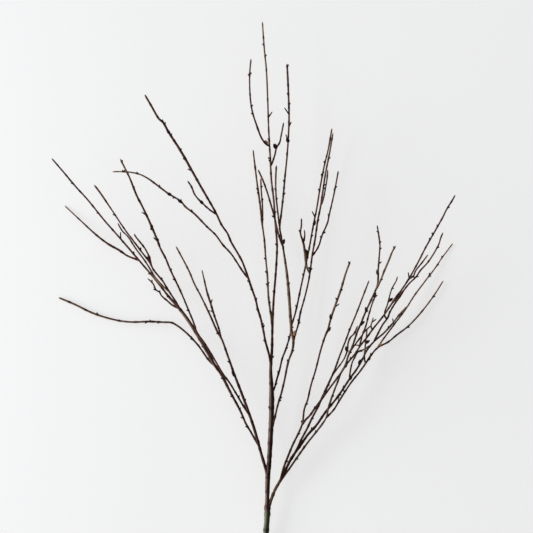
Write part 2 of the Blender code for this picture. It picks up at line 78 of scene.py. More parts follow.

# %% [markdown]
# ## One table for every shoot
# A twig has no outline to model: its form is the lines that its shoots follow. They are given as
# points seen from above, in millimetres, with x across the twig and y along it, and each
# shoot also has the heights that it passes at equal shares of its length. The solid has the same
# table, so the finer skin made here lies where the solid does. The middle of the solid's box tells
# where the table's zero is.

# %% Units, and where the table's zero lies
MM = 0.001
BOX_MIDDLE = Vector((-20.452, 338.345))


def in_frame(point):
    """A point of the table, in millimetres, as a place in the frame, in metres."""
    low, high = cad_low, cad_high
    return Vector((
        (low.x + high.x) / 2 + (point.x - BOX_MIDDLE.x) * MM,
        (low.y + high.y) / 2 + (point.y - BOX_MIDDLE.y) * MM,
        low.z + point.z * MM))


print("the table's zero is at", [round(v, 4) for v in in_frame(Vector((0, 0, 0)))])

# %% The stem and leader: x, y, height of the middle line, and radius
LEADER = (
    (-4, -90, 4.85, 4.7), (-2, -40, 8.5, 4.5), (-1.5, 0, 11, 4.4), (0, 20, 13, 4.3),
    (0.5, 34, 14, 5.1), (0.5, 44, 15, 3.9), (0.5, 54, 15.7, 3.25), (1, 80, 18, 3.7),
    (3.5, 110, 20.5, 3.55), (5, 140, 23, 3.85), (6.5, 170, 25, 3.8), (7, 200, 27.5, 4.15),
    (6.5, 222, 29, 3.1), (5.5, 245, 30.5, 2.4), (7.5, 275, 32.5, 2.0), (8, 305, 34, 1.8),
    (10, 350, 37, 1.7), (13.5, 395, 39.5, 1.65), (15, 432, 41.5, 1.7), (12, 470, 43, 1.6),
    (10, 500, 44, 1.6), (6.5, 530, 45, 1.6), (5, 560, 46, 1.5), (2.5, 605, 47.5, 1.35),
    (1, 650, 49, 1.25), (-1, 695, 50.5, 1.2), (-4, 725, 51.5, 1.15), (-7, 767, 52.5, 1.05),
)
print(len(LEADER), "places along the leader")

# %% Each shoot: its parent, radii from root to tip, the heights that it passes, and its route
Shoot = namedtuple("Shoot", "parent radii heights route")
SHOOTS = {
    "crown_left": Shoot("leader", (1.4, 1.35, 1.2, 1.2), (60, 74), (
        (4, 580), (-2, 584), (-8, 592), (-14, 607), (-22, 632), (-25, 652), (-26, 686), (-24, 711))),
    "crown_right": Shoot("leader", (1.5, 1.5), (37, 28), (
        (5, 550), (8, 556), (12, 568), (14, 577), (19, 586), (21.4, 597), (25, 616))),
    "inner_right": Shoot("leader", (1.7, 1.5, 1.6, 2.2, 2.2, 1.5, 1.45, 1.25, 1.2, 1.4, 1.5), (
        46, 76, 104), (
        (6, 150), (11, 170), (16.5, 193), (21.4, 209), (26.4, 230), (32, 257), (38, 274), (39.5, 288),
        (36.5, 304), (35, 326), (33.1, 354), (30, 387), (25.2, 421), (21, 446), (19, 457),
        (21, 476), (24, 502), (27, 535), (30, 565), (32, 595), (33, 625), (32, 660), (30, 703))),
    "inner_right_side": Shoot("inner_right", (1.3, 1.15), (82, 92), (
        (19, 459), (17.5, 470), (16, 482), (13.5, 507), (13, 530), (14, 551))),
    "crossing": Shoot("inner_right", (1.35, 1.2), (66, 74), (
        (25, 428), (21, 436), (17.5, 447), (12.5, 468), (6, 492), (0, 512), (-5, 526), (-13.5, 545))),
    "inner_left": Shoot("leader", (1.5, 1.5, 1.4, 1.35, 1.15), (24, 14), (
        (8, 305), (7.5, 313), (5, 332), (2, 357), (0.5, 386), (-2, 413), (-4, 440), (-7.5, 465),
        (-10, 490), (-14, 518), (-18, 550), (-21, 575))),
    "inner_left_side": Shoot("inner_left", (1.25, 1.2), (9, 6), (
        (-7, 462), (-6.5, 480), (-7, 494), (-8.5, 512), (-9.5, 532))),
    "outer_right": Shoot("leader", (1.5, 1.2), (22, 14, 20), (
        (6.8, 209), (11, 217), (15.2, 232), (19, 245), (23, 262), (28, 275), (35, 298), (38, 315),
        (42, 328), (46, 345), (51.6, 372), (56, 392), (61, 415), (65, 436), (70, 464), (74, 483),
        (80, 520), (86, 551), (92, 576), (97.5, 607))),
    "fork_right": Shoot("inner_right", (1.6, 1.25), (46, 50, 62), (
        (39.3, 286), (42, 297), (46.7, 312), (50.3, 331), (57, 355), (62.7, 380), (66, 402), (68, 418),
        (72, 440), (76, 468), (80, 488), (84, 515), (88, 541), (93, 566), (99, 600))),
    "fork_right_side": Shoot("fork_right", (1.2, 1.15), (66, 80), (
        (81, 492), (84.5, 501), (87, 514), (90, 532), (91, 545))),
    "long_side": Shoot("fork_right", (1.3, 1.2, 1.05, 1.1, 1.1), (38, 26), (
        (68, 416), (74, 424), (78.5, 433), (82, 445), (91, 466), (93, 476), (97, 493), (101, 511),
        (107, 543))),
    "knotted": Shoot("fork_right", (1.3, 1.9, 1.8, 1.3, 1.25), (62, 78), (
        (64, 390), (60.5, 396.5), (58, 408), (56.5, 424), (54, 437), (50, 450), (51.5, 461),
        (51.5, 472))),
    "knotted_side": Shoot("knotted", (1.1, 1.05), (66,), (
        (54.3, 436), (56.5, 445), (56, 455))),
    "left_arm": Shoot("leader", (1.8, 1.65, 1.5, 2.0, 1.5), (50, 72, 100), (
        (6, 254), (3.5, 266), (-2.5, 288), (-5.3, 303), (-9.3, 321), (-13.9, 336), (-17, 350),
        (-24, 370), (-31, 391), (-38, 409), (-54, 437), (-59, 449), (-68, 462), (-76, 479),
        (-100, 521), (-114, 546), (-130, 574), (-148, 602), (-155.5, 615.5), (-161.5, 620.5), (-174.5, 642.5),
        (-183, 657))),
    "left_arm_low": Shoot("left_arm", (1.4, 1.4, 1.55, 1.4, 1.0), (40, 30, 36), (
        (-28, 382), (-36, 392), (-54, 419), (-66, 432), (-77, 447), (-89.3, 458.7), (-109.6, 479.4),
        (-122, 489), (-130, 498), (-148, 509), (-160, 518), (-179, 532), (-191, 538), (-204, 541),
        (-218, 542), (-232, 542))),
    "left_arm_side": Shoot("left_arm", (1.4, 1.4, 1.15), (84, 92), (
        (-75.5, 478), (-85, 484), (-104, 502), (-109, 509), (-113, 519), (-119, 528))),
    "left_inner": Shoot("leader", (2.2, 2.0, 1.7, 1.3, 1.25), (30, 46, 72), (
        (1.2, 84), (-2.5, 98), (-9, 120), (-14, 138), (-20, 159), (-25.5, 175), (-37.5, 208),
        (-49, 238), (-61, 272), (-68, 291), (-74, 301), (-86, 328), (-100, 357), (-109, 374),
        (-116, 391), (-130.8, 419.7), (-136.5, 430))),
    "left_inner_side": Shoot("left_inner", (1.4, 1.5, 1.6, 0.95), (76, 96), (
        (-69, 292), (-71.5, 304), (-79.5, 328), (-84.6, 345), (-89.6, 361), (-94, 380), (-97.5, 395))),
    "left_middle": Shoot("left_inner", (1.55, 1.4, 1.4, 1.7, 1.35), (36, 50, 74), (
        (-25.7, 176), (-34.5, 189), (-49.5, 214.5), (-57, 226.5), (-65, 237), (-81, 264),
        (-96, 288), (-105, 300), (-109.5, 314), (-117.5, 333.8), (-129.7, 362.7), (-145.5, 396),
        (-152, 412), (-159.5, 426.2), (-164, 438), (-174, 462), (-187, 490), (-195, 505.5),
        (-206, 533), (-220, 561))),
    "left_low": Shoot("left_inner", (
        1.6, 1.6, 1.9, 2.3, 2.7, 2.6, 1.6, 1.5, 1.45, 1.3, 1.35, 1.35, 1.15), (20, 24, 44), (
        (-12, 131), (-18.5, 141), (-24, 151), (-31.5, 163.5), (-40, 183), (-55.5, 212), (-70, 240),
        (-79, 252.5), (-91.5, 275), (-108, 303), (-122, 324), (-133.5, 339), (-144, 350.5),
        (-151.5, 359.5), (-159.5, 370), (-168, 380.5), (-175, 389), (-193, 410), (-210, 430),
        (-223.5, 445.5), (-244.5, 469.5), (-270, 501),
        (-286.5, 519), (-307.5, 544), (-323, 562))),
    "left_floor": Shoot("left_low", (1.35, 1.45, 1.35), (8, 4.5, 3), (
        (-78, 251), (-86, 257.5), (-103.5, 281.5), (-120, 299), (-133.5, 310), (-143, 315.3),
        (-156, 316.1), (-176, 317), (-205, 316.4), (-228, 319.5), (-261.2, 329.5), (-288.2, 342.5),
        (-313, 353))),
    "left_short": Shoot("left_low", (1.5, 1.45), (14, 9), (
        (-132, 337), (-142.5, 342), (-150.5, 349), (-158.5, 356), (-161.5, 361.5), (-167, 364.6),
        (-169.5, 371), (-172.5, 375.5), (-179.5, 382))),
    "left_outer": Shoot("left_low", (1.4, 1.75, 1.25, 0.95), (10, 1.05), (
        (-192, 409), (-210, 416), (-220, 423), (-239.5, 434.2), (-258, 448.5), (-283.5, 472),
        (-304, 491))),
    "left_high": Shoot("left_low", (1.5, 1.45, 1.35, 1.15, 1.55), (36, 52, 66), (
        (-131.5, 337), (-138, 348.5), (-144.5, 358.5), (-150.5, 368), (-156.8, 378.5),
        (-165.4, 388.5), (-171, 396), (-175.3, 405),
        (-187.5, 421), (-201, 439), (-213, 455), (-231, 482), (-251, 511.6), (-259, 522))),
    "left_high_side": Shoot("left_high", (1.3, 1.3), (50, 60), (
        (-173.5, 401), (-177, 415), (-183.5, 427.5), (-196.5, 444), (-199.5, 449))),
    "left_between": Shoot("left_high", (1.3, 1.2), (33, 40), (
        (-147, 362), (-157, 371), (-168, 384), (-182, 406.5), (-196.5, 426), (-209, 445),
        (-217, 453), (-224, 465))),
    "right_spray": Shoot("leader", (2.55, 2.1, 1.75, 1.45, 1.2), (17, 20, 24), (
        (1, 36), (6, 49), (12.7, 65.8), (21, 80), (29, 97), (37.5, 113), (50, 131), (62, 148),
        (73.5, 160.5), (88.5, 182), (105, 202.5), (115.5, 218), (124, 231), (134, 244.5),
        (143, 260), (150, 274), (160.5, 287), (175.5, 300), (189, 315), (199.5, 328.5),
        (211, 340.5))),
    "right_inner": Shoot("right_spray", (1.6, 1.5, 1.25, 1.2, 1.5, 1.75, 1.45), (40, 66, 88), (
        (20.5, 79), (24.5, 96), (32, 116), (39.5, 134), (46, 147), (53, 164), (56, 186), (61, 200),
        (65.5, 220), (73, 245), (80.6, 275), (87, 295), (91.5, 306), (95, 320), (102, 341), (110.3, 364.2),
        (118, 390), (124.5, 407.5))),
    "right_high": Shoot("right_inner", (1.6, 1.5, 1.4, 1.2), (58, 84, 110), (
        (53, 163), (58, 170), (64.5, 176.5), (71, 186), (81, 199.5), (94, 217.5), (108, 236.5),
        (117.5, 251), (121, 264), (127, 278), (131, 289), (136, 304), (140, 313), (147.5, 331.5),
        (157, 352), (164, 368), (166, 377), (166.5, 395), (168, 417), (168.9, 430), (167.2, 446),
        (164.6, 461.5))),
    "right_high_side": Shoot("right_high", (1.4, 1.6, 1.15), (100, 96), (
        (164, 367), (170, 379), (174.6, 391.3), (181.1, 406.3), (187.2, 421.3), (192.5, 431))),
    "right_middle": Shoot("right_spray", (1.5, 1.2), (30, 44, 58), (
        (40, 116), (45, 126), (52, 141), (60, 156), (67, 171), (76, 188), (84, 206), (96, 232),
        (102, 246), (109.5, 267), (118.5, 290), (123.5, 303.8), (135.4, 332.8), (144, 355.5), (153, 379))),
    "right_twist": Shoot("right_middle", (1.15, 1.1, 1.4, 1.25), (30, 26), (
        (99, 238), (105, 246), (115, 260), (119, 269), (121, 276), (121.5, 284), (125, 293),
        (131, 299.5), (136, 311))),
    "right_cross": Shoot("right_high", (1.25, 1.1), (66, 70), (
        (124, 272), (131, 281.5), (141.5, 295.5), (147, 303), (156, 311.5))),
    "right_leader": Shoot("right_spray", (1.5, 1.4, 1.2), (34, 54, 70), (
        (20.5, 78.5), (31, 92.5), (46.5, 115), (60, 134), (73.5, 151), (83, 163.5), (89.5, 174.5),
        (92, 187), (99, 208.5), (106.5, 228), (113, 244.5), (122, 256.5), (133, 270), (140, 281),
        (149.5, 293), (158, 305), (175.5, 327), (187, 344), (199.5, 361.5), (213, 382), (228, 409),
        (237, 427), (251.6, 452.6), (263, 473), (270, 487), (277, 498), (282, 507))),
    "right_leader_side": Shoot("right_leader", (1.25, 1.2), (74, 84), (
        (212.5, 381), (219.5, 386), (222.5, 393), (232.5, 406), (241, 417.5))),
    "right_thread": Shoot("right_leader", (1.3, 1.15), (52, 62), (
        (138.5, 279), (140.5, 287), (144, 300), (148, 310), (152.5, 327), (158, 345), (162, 354),
        (166, 357))),
    "right_fork": Shoot("right_leader", (1.1, 1.05), (52, 60), (
        (157.5, 304.5), (156, 311), (157.5, 317), (159.5, 323.5))),
    "right_low": Shoot("right_leader", (1.4, 1.45, 1.25, 0.95), (12, 5, 3), (
        (89, 173), (100, 184.5), (109, 199), (126, 225), (139.5, 242), (148, 254), (157, 267.5),
        (166, 277.5), (183, 287), (195, 297), (211, 309), (223, 321), (237, 337.5), (252, 358),
        (265, 378.5))),
    "right_outer": Shoot("right_low", (1.25, 1.2, 0.95), (10, 6, 1.05), (
        (165.5, 277), (172, 287), (183, 302), (190.5, 312), (208.5, 336), (220.5, 355), (238, 378.4),
        (253, 398), (263, 413), (272, 425), (279, 434.5))),
    "right_upper": Shoot("right_spray", (1.4, 1.2), (30, 38, 44), (
        (160.5, 287), (165.5, 297), (174, 313), (181, 322.5), (184.5, 331.5), (195, 349),
        (206, 365), (214.5, 375.5), (223.5, 384), (229.5, 393), (242, 407), (253.5, 425),
        (258, 434), (260, 441), (264, 451))),
    "right_hook": Shoot("right_upper", (1.3, 1.2), (40, 54), (
        (179.5, 321), (177, 325), (177, 332), (181, 343.5), (184.5, 358), (187.5, 367), (194, 379),
        (195.5, 385))),
    "right_bridge": Shoot("right_spray", (1.25, 1.2), (23, 26.5), (
        (124, 231), (124.5, 239), (128, 256), (132, 264), (136, 271), (146, 275.5), (155, 282))),
    "right_sucker": Shoot("right_low", (1.4, 1.45, 1.2, 1.05), (31, 31, 27), (
        (148, 254), (146, 262), (147, 275), (148, 286), (149.5, 299), (150, 307))),
}
print(len(SHOOTS), "shoots in the table")

# %% [markdown]
# ## What grows on the shoots
# Some side twigs are too short to be shoots of the table. They are spurs, and each has the rise of
# its tip in place of heights. The larger buds are placed one by one, where the photograph shows
# them. The small buds and knots that it shows are listed too, each with the side of the
# shoot that it is on.

# %% Short side twigs: shoot, rise of the tip, and route
SPURS = (
    ("leader", 4, ((2, 623), (8, 632))),
    ("inner_right", 3, ((32.5, 628), (26, 637.5))),
    ("inner_right", 4, ((32.5, 608), (36.5, 616.5))),
    ("inner_right", -3, ((31.5, 587), (28, 598))),
    ("outer_right", 4, ((72, 474), (67.5, 483))),
    ("left_arm", 2, ((-113, 543), (-119, 546))),
    ("left_inner_side", 3, ((-84, 344), (-82, 351))),
    ("left_middle", 3, ((-181.5, 477), (-188, 481.5))),
    ("left_middle", -2, ((-163.5, 437), (-170.5, 443.5))),
    ("left_low", 4, ((-219.5, 441), (-220, 451.5))),
    ("right_inner", 3, ((90, 302), (96, 308.5))),
    ("right_inner", -3, ((101, 338.5), (108.5, 344))),
    ("right_high", 3, ((139.5, 311.5), (144, 314.5), (146.5, 318))),
    ("right_high", 4, ((167.5, 404), (171.5, 407))),
    ("right_leader", 4, ((213, 382), (211.5, 391.5))),
    ("right_leader", 3, ((138.5, 278.5), (137.5, 281.5), (132, 281.5))),
    ("right_outer", 3, ((190.5, 312), (188.5, 322))),
    ("right_fork", 3, ((157.3, 316), (164, 321))),
)
print(len(SPURS), "spurs")

# %% Larger buds: shoot, place, and the way that each points as seen from above
FAT_BUDS = (
    ("crown_right", (13, 577), (-2, 4)),
    ("inner_right", (24, 434), (1.5, 5)),
    ("right_inner", (96, 321), (-1, 6)),
    ("right_inner", (91, 303), (3, 4)),
    ("right_hook", (183, 348), (4, 3)),
    ("right_high", (166, 388), (-1, 5)),
    ("right_high", (149.5, 332), (-1.5, 5)),
    ("right_high", (140, 312), (3, 4)),
    ("right_high", (159.5, 354), (3, 5)),
    ("right_high", (117, 249), (2, 5)),
    ("left_arm", (-146, 599), (-2, 3)),
    ("left_arm_low", (-144, 507), (-4, 2)),
    ("left_arm_low", (-128, 496), (-3, 2)),
    ("left_arm_side", (-96, 494), (-4, 4)),
    ("left_middle", (-172, 457), (-2, 6)),
    ("left_middle", (-163, 438), (-3, 4)),
    ("left_high_side", (-176, 411), (-2, 6)),
    ("left_inner", (-49, 237), (-3, 5)),
    ("outer_right", (60.5, 412), (-0.5, 4)),
    ("outer_right", (61, 419), (-2, 4)),
    ("outer_right", (70, 462), (2, 5)),
    ("right_twist", (120, 273), (-1, 4)),
    ("right_spray", (124, 230), (3, 5)),
    ("right_spray", (138.5, 253), (1, 5)),
    ("right_sucker", (148, 285), (5, 3)),
)

# A bud that stands off its shoot and looks short.
SHORT_BUDS = (
    ("right_leader", (43.5, 111.5), (4, -1)),
)

# Buds that are stouter than the rest.
STOUT_BUDS = (
    ("crown_right", (14, 577), (-1.5, 5)),
    ("inner_right", (32, 586), (-2.5, 7)),
)

# Pale orange buds that sit in the angle of two shoots.
AXIL_BUDS = (
    ("leader", (1, 584), (-3, 4)),
    ("inner_right", (40.5, 297), (0.5, 4)),
    ("right_low", (168.5, 280.5), (2, 3)),
)

print(len(FAT_BUDS + SHORT_BUDS + STOUT_BUDS + AXIL_BUDS), "larger buds")

# %% Small buds and knots that show in the photograph: x, y, and the side of the shoot's way
LEFT, ON_TOP, RIGHT = -1, 0, 1
SEEN_BUDS = {
    "leader": (
        (-5, 730, LEFT), (-2, 715, RIGHT), (2, 591, LEFT), (3, 558, LEFT), (9, 361, LEFT),
        (13, 433, LEFT), (12, 480, ON_TOP)),
    "crown_left": ((-13, 607, ON_TOP), (-22, 640, RIGHT), (-26, 685, LEFT)),
    "inner_right": (
        (22, 202, RIGHT), (37, 273, RIGHT), (34, 372, RIGHT), (26, 528, LEFT), (32, 642, RIGHT),
        (32, 658, LEFT), (31, 699, RIGHT)),
    "inner_right_side": ((14, 501, RIGHT),),
    "inner_left": ((4, 373, RIGHT), (0, 371, LEFT), (-1, 390, LEFT), (0, 410, LEFT), (-14, 516, LEFT)),
    "inner_left_side": ((-9, 519, RIGHT),),
    "outer_right": (
        (13, 223, RIGHT), (30, 277, RIGHT), (32, 292, LEFT), (43, 339, LEFT), (67, 444, RIGHT),
        (79, 515, LEFT), (82, 535, LEFT), (86, 555, LEFT)),
    "fork_right": ((47, 319, LEFT), (66, 395, RIGHT), (88, 522, RIGHT), (92, 561, RIGHT)),
    "long_side": ((81, 443, LEFT), (93, 476, LEFT), (102, 518, RIGHT), (106, 540, ON_TOP)),
    "knotted": ((56, 437, ON_TOP), (50, 452, LEFT)),
    "left_arm": (
        (-2, 288, LEFT), (-5, 312, RIGHT), (-14, 334, LEFT), (-16, 350, RIGHT), (-22, 364, LEFT),
        (-24, 372, ON_TOP), (-105, 529, ON_TOP), (-130, 574, RIGHT), (-143, 595, RIGHT),
        (-148, 602, ON_TOP), (-156, 617, RIGHT)),
    "left_arm_low": (
        (-112, 484, RIGHT), (-129, 498, RIGHT), (-161, 521, RIGHT), (-194, 540, RIGHT), (-216, 542, RIGHT)),
    "left_inner": ((-50, 235, LEFT), (-73, 300, LEFT)),
    "left_middle": ((-117, 334, LEFT), (-138, 380, LEFT), (-218, 557, RIGHT)),
    "left_low": (
        (-28, 159, LEFT), (-38, 186, RIGHT), (-52, 204, LEFT), (-67, 232, LEFT), (-91, 274, ON_TOP),
        (-96, 280, LEFT), (-175, 389, LEFT), (-280, 513, ON_TOP), (-292, 524, LEFT)),
    "left_floor": (
        (-103, 282, ON_TOP), (-112, 291, LEFT), (-142, 316, ON_TOP), (-163, 316, LEFT),
        (-175, 318, RIGHT), (-181, 316, LEFT), (-273, 336, ON_TOP)),
    "left_outer": ((-217, 421, ON_TOP), (-247, 441, ON_TOP), (-283, 472, ON_TOP)),
    "left_high": ((-159, 379, RIGHT), (-179, 415, ON_TOP)),
    "left_between": ((-158, 370, ON_TOP),),
    "right_inner": (
        (47, 148, RIGHT), (60, 193, RIGHT), (73, 244, ON_TOP), (112, 364, RIGHT), (123, 404, LEFT)),
    "right_high": (
        (70, 189, LEFT), (162, 363, ON_TOP), (169, 426, RIGHT), (170, 436, RIGHT), (167, 451, LEFT)),
    "right_high_side": ((171, 380, RIGHT), (189, 428, LEFT)),
    "right_middle": ((92, 222, RIGHT), (119, 291, ON_TOP), (123, 304, ON_TOP)),
    "right_spray": (
        (70, 157, ON_TOP), (105, 202, RIGHT), (107, 205, ON_TOP), (114, 219, LEFT), (182, 308, LEFT)),
    "right_leader": (
        (45, 111, RIGHT), (73, 151, LEFT), (83, 163, ON_TOP), (99, 204, RIGHT), (158, 305, ON_TOP),
        (195, 355, ON_TOP), (209, 377, ON_TOP), (243, 440, LEFT), (255, 461, LEFT), (270, 488, RIGHT)),
    "right_leader_side": ((218, 385, RIGHT), (232, 405, ON_TOP)),
    "right_upper": ((182, 325, ON_TOP), (225, 384, RIGHT), (255, 428, RIGHT), (262, 446, ON_TOP)),
    "right_low": (
        (106, 199, LEFT), (152, 259, RIGHT), (155, 268, LEFT), (193, 295, ON_TOP), (220, 319, ON_TOP),
        (250, 355, RIGHT)),
    "right_outer": ((190, 312, ON_TOP), (244, 388, LEFT), (256, 401, RIGHT), (262, 414, LEFT)),
    "right_twist": ((124, 292, ON_TOP),),
    "right_bridge": ((131, 262, ON_TOP),),
    "left_short": ((-161.5, 361, RIGHT), (-167, 365, LEFT), (-173, 376, RIGHT)),
    "right_thread": ((148, 310, ON_TOP),),
}
print(sum(len(places) for places in SEEN_BUDS.values()), "small buds seen")

# %% [markdown]
# ## A smooth line through given points
# Straight runs between the points would look like bent wire. A centripetal Catmull-Rom curve goes
# through every point, as a Bezier curve's handles would make it, and never loops at a sharp bend.
# The heights are smoothed in the same way along the shoot's length.

# %% Curves through points
STEPS = 12


def curve_through(points):
    """A smooth line through the points, as many short steps (a centripetal Catmull-Rom curve)."""
    ends = [2 * points[0] - points[1], *points, 2 * points[-1] - points[-2]]
    line = [points[0]]
    for before, start, end, after in zip(ends, ends[1:], ends[2:], ends[3:]):
        knots = [0.0]
        for a, b in ((before, start), (start, end), (end, after)):
            knots.append(knots[-1] + math.sqrt((b - a).length))
        for step in range(1, STEPS + 1):
            t = knots[1] + (knots[2] - knots[1]) * step / STEPS
            line.append(between(t, knots, before, start, end, after))
    return line


def between(t, knots, p0, p1, p2, p3):
    """The point at t on the stretch from p1 to p2, by the Barry and Goldman pyramid."""
    def mix(a, b, low, high):
        return a * ((high - t) / (high - low)) + b * ((t - low) / (high - low))

    a1 = mix(p0, p1, knots[0], knots[1])
    a2 = mix(p1, p2, knots[1], knots[2])
    a3 = mix(p2, p3, knots[2], knots[3])
    b1 = mix(a1, a2, knots[0], knots[2])
    b2 = mix(a2, a3, knots[1], knots[3])
    return mix(b1, b2, knots[1], knots[2])


def lengths_along(line):
    """The distance from the start to each point of a line."""
    total = [0.0]
    for a, b in zip(line, line[1:]):
        total.append(total[-1] + (b - a).length)
    return total


def point_at(line, lengths, distance):
    """The point of a line at a distance from its start."""
    for i in range(1, len(line)):
        if lengths[i] >= distance:
            part = (distance - lengths[i - 1]) / (lengths[i] - lengths[i - 1])
            return line[i - 1].lerp(line[i], part)
    return line[-1].copy()


def nearest_height(line, x, y):
    """The height of a line where it passes nearest to a place, seen from above."""
    tree = KDTree(len(line))
    for i, p in enumerate(line):
        tree.insert((p.x, p.y, 0), i)
    tree.balance()
    return line[tree.find((x, y, 0))[1]].z


def rise(route, root_height, heights):
    """The route's smooth line, with its height going through the given ones at equal shares."""
    flat = curve_through([Vector((x, y, 0)) for x, y in route])
    lengths = lengths_along(flat)
    knots = [root_height, *heights]
    if len(heights) == 1:
        knots.insert(1, (root_height + heights[0]) / 2)
    profile = curve_through([Vector((i, h, 0)) for i, h in enumerate(knots)])
    for p, distance in zip(flat, lengths):
        share = distance / lengths[-1] * (len(knots) - 1)
        p.z = next((q.y for q in profile if q.x >= share - 1e-6), knots[-1])
    return flat


def radius_at(name, share):
    """The radius of the leader or a shoot, at a share of its length."""
    if name in SHOOTS:
        radii = SHOOTS[name].radii
        place = share * (len(radii) - 1)
        before = min(int(place), len(radii) - 2)
        return radii[before] + (radii[before + 1] - radii[before]) * (place - before)
    y = LEADER[0][1] + (LEADER[-1][1] - LEADER[0][1]) * share
    return next(p[3] for p in LEADER if p[1] >= y)


# %% The middle line of every shoot
lines = {"leader": curve_through([Vector(p[:3]) for p in LEADER])}
for shoot_name, shoot in SHOOTS.items():
    start_height = nearest_height(lines[shoot.parent], *shoot.route[0])
    lines[shoot_name] = rise(shoot.route, start_height, shoot.heights)
metres = sum(lengths_along(line)[-1] for line in lines.values()) * MM
print(f"{metres:.2f} m of shoots")

# %% [markdown]
# ## Where the buds sit
# Buds climb a shoot in a spiral, each about 137.5 degrees round from the last. The solid draws
# them with a seeded random number, and the same seed gives the same buds here. We need them before
# the bark, because a shoot swells into a small node under each bud.

# %% Buds by a spiral rule
BUD_SEED = 11
BUD_SPACING = 74.0
BUD_JITTER = 12.0
FIRST_BUD = 30.0
BUD_LEAN = math.radians(36)
BUD_TURN = math.radians(137.5)
Bud = namedtuple("Bud", "shoot distance place pointing length")
SPIRAL_BUD_LENGTH = 4.3
SPIRAL_BUD_OUT = 0.8
SEEN_BUD_LENGTH = 3.8
SEEN_BUD_OUT = 0.75
SEEN_BUD_RISE = 0.5
BUD_AHEAD = 2


def spiral_buds():
    """The small buds of every shoot, in the order in which the solid draws them."""
    draw = random.Random(BUD_SEED)
    found = []
    for name, line in lines.items():
        lengths = lengths_along(line)
        distance = FIRST_BUD + draw.uniform(0, BUD_SPACING / 2)
        turn = draw.uniform(0, 2 * math.pi)
        while distance < lengths[-1] - FIRST_BUD / 2:
            root = point_at(line, lengths, distance)
            along = (point_at(line, lengths, distance + BUD_AHEAD) - root).normalized()
            across = along.orthogonal().normalized()
            side = Matrix.Rotation(turn, 3, along) @ across
            pointing = along * math.cos(BUD_LEAN) + side * math.sin(BUD_LEAN)
            place = root + side * radius_at(name, distance / lengths[-1]) * SPIRAL_BUD_OUT
            found.append(Bud(name, distance, place, pointing, SPIRAL_BUD_LENGTH))
            distance += BUD_SPACING + draw.uniform(-BUD_JITTER, BUD_JITTER)
            turn += BUD_TURN
    return found


def seen_buds():
    """The small buds that are listed, each on its own side of its shoot."""
    found = []
    for name, picked in SEEN_BUDS.items():
        line = lines[name]
        lengths = lengths_along(line)
        for x, y, hand in picked:
            nearest = min(range(len(line) - 1), key=lambda i: (line[i].x - x) ** 2 + (line[i].y - y) ** 2)
            along = (line[nearest + 1] - line[nearest]).normalized()
            side = Vector((along.y * hand, -along.x * hand, SEEN_BUD_RISE if hand else 1))
            side = (side - along * side.dot(along)).normalized()
            pointing = along * math.cos(BUD_LEAN) + side * math.sin(BUD_LEAN)
            distance = lengths[nearest]
            place = line[nearest] + side * radius_at(name, distance / lengths[-1]) * SEEN_BUD_OUT
            found.append(Bud(name, distance, place, pointing, SEEN_BUD_LENGTH))
    return found


small_buds = spiral_buds() + seen_buds()
print(len(small_buds), "small buds")

# %% [markdown]
# ## Knots between the buds
# A knot is left where a bud fell in an earlier year. Knots lie between the buds, unevenly spaced,
# and they give a shoot its jointed look.

# %% Knots, by a seeded rule
KNOT_SEED = 23
KNOT_SPACING = 27.0
KNOT_JITTER = 9.0
KNOT_CLEAR = 9.0


def knots_along(name, buds_at):
    """Where a shoot has a knot with no bud left on it: unevenly spaced, and clear of its buds."""
    draw = random.Random(KNOT_SEED + len(name) + round(lengths_along(lines[name])[-1]))
    end = lengths_along(lines[name])[-1] - KNOT_CLEAR
    found = []
    distance = draw.uniform(KNOT_CLEAR, KNOT_SPACING)
    while distance < end:
        if all(abs(distance - at) > KNOT_CLEAR for at in buds_at):
            found.append(distance)
        distance += KNOT_SPACING + draw.uniform(-KNOT_JITTER, KNOT_JITTER)
    return found


nodes_of = {name: [bud.distance for bud in small_buds if bud.shoot == name] for name in lines}
knots_of = {name: knots_along(name, nodes_of[name]) for name in lines}
print(sum(len(knots) for knots in knots_of.values()), "knots")
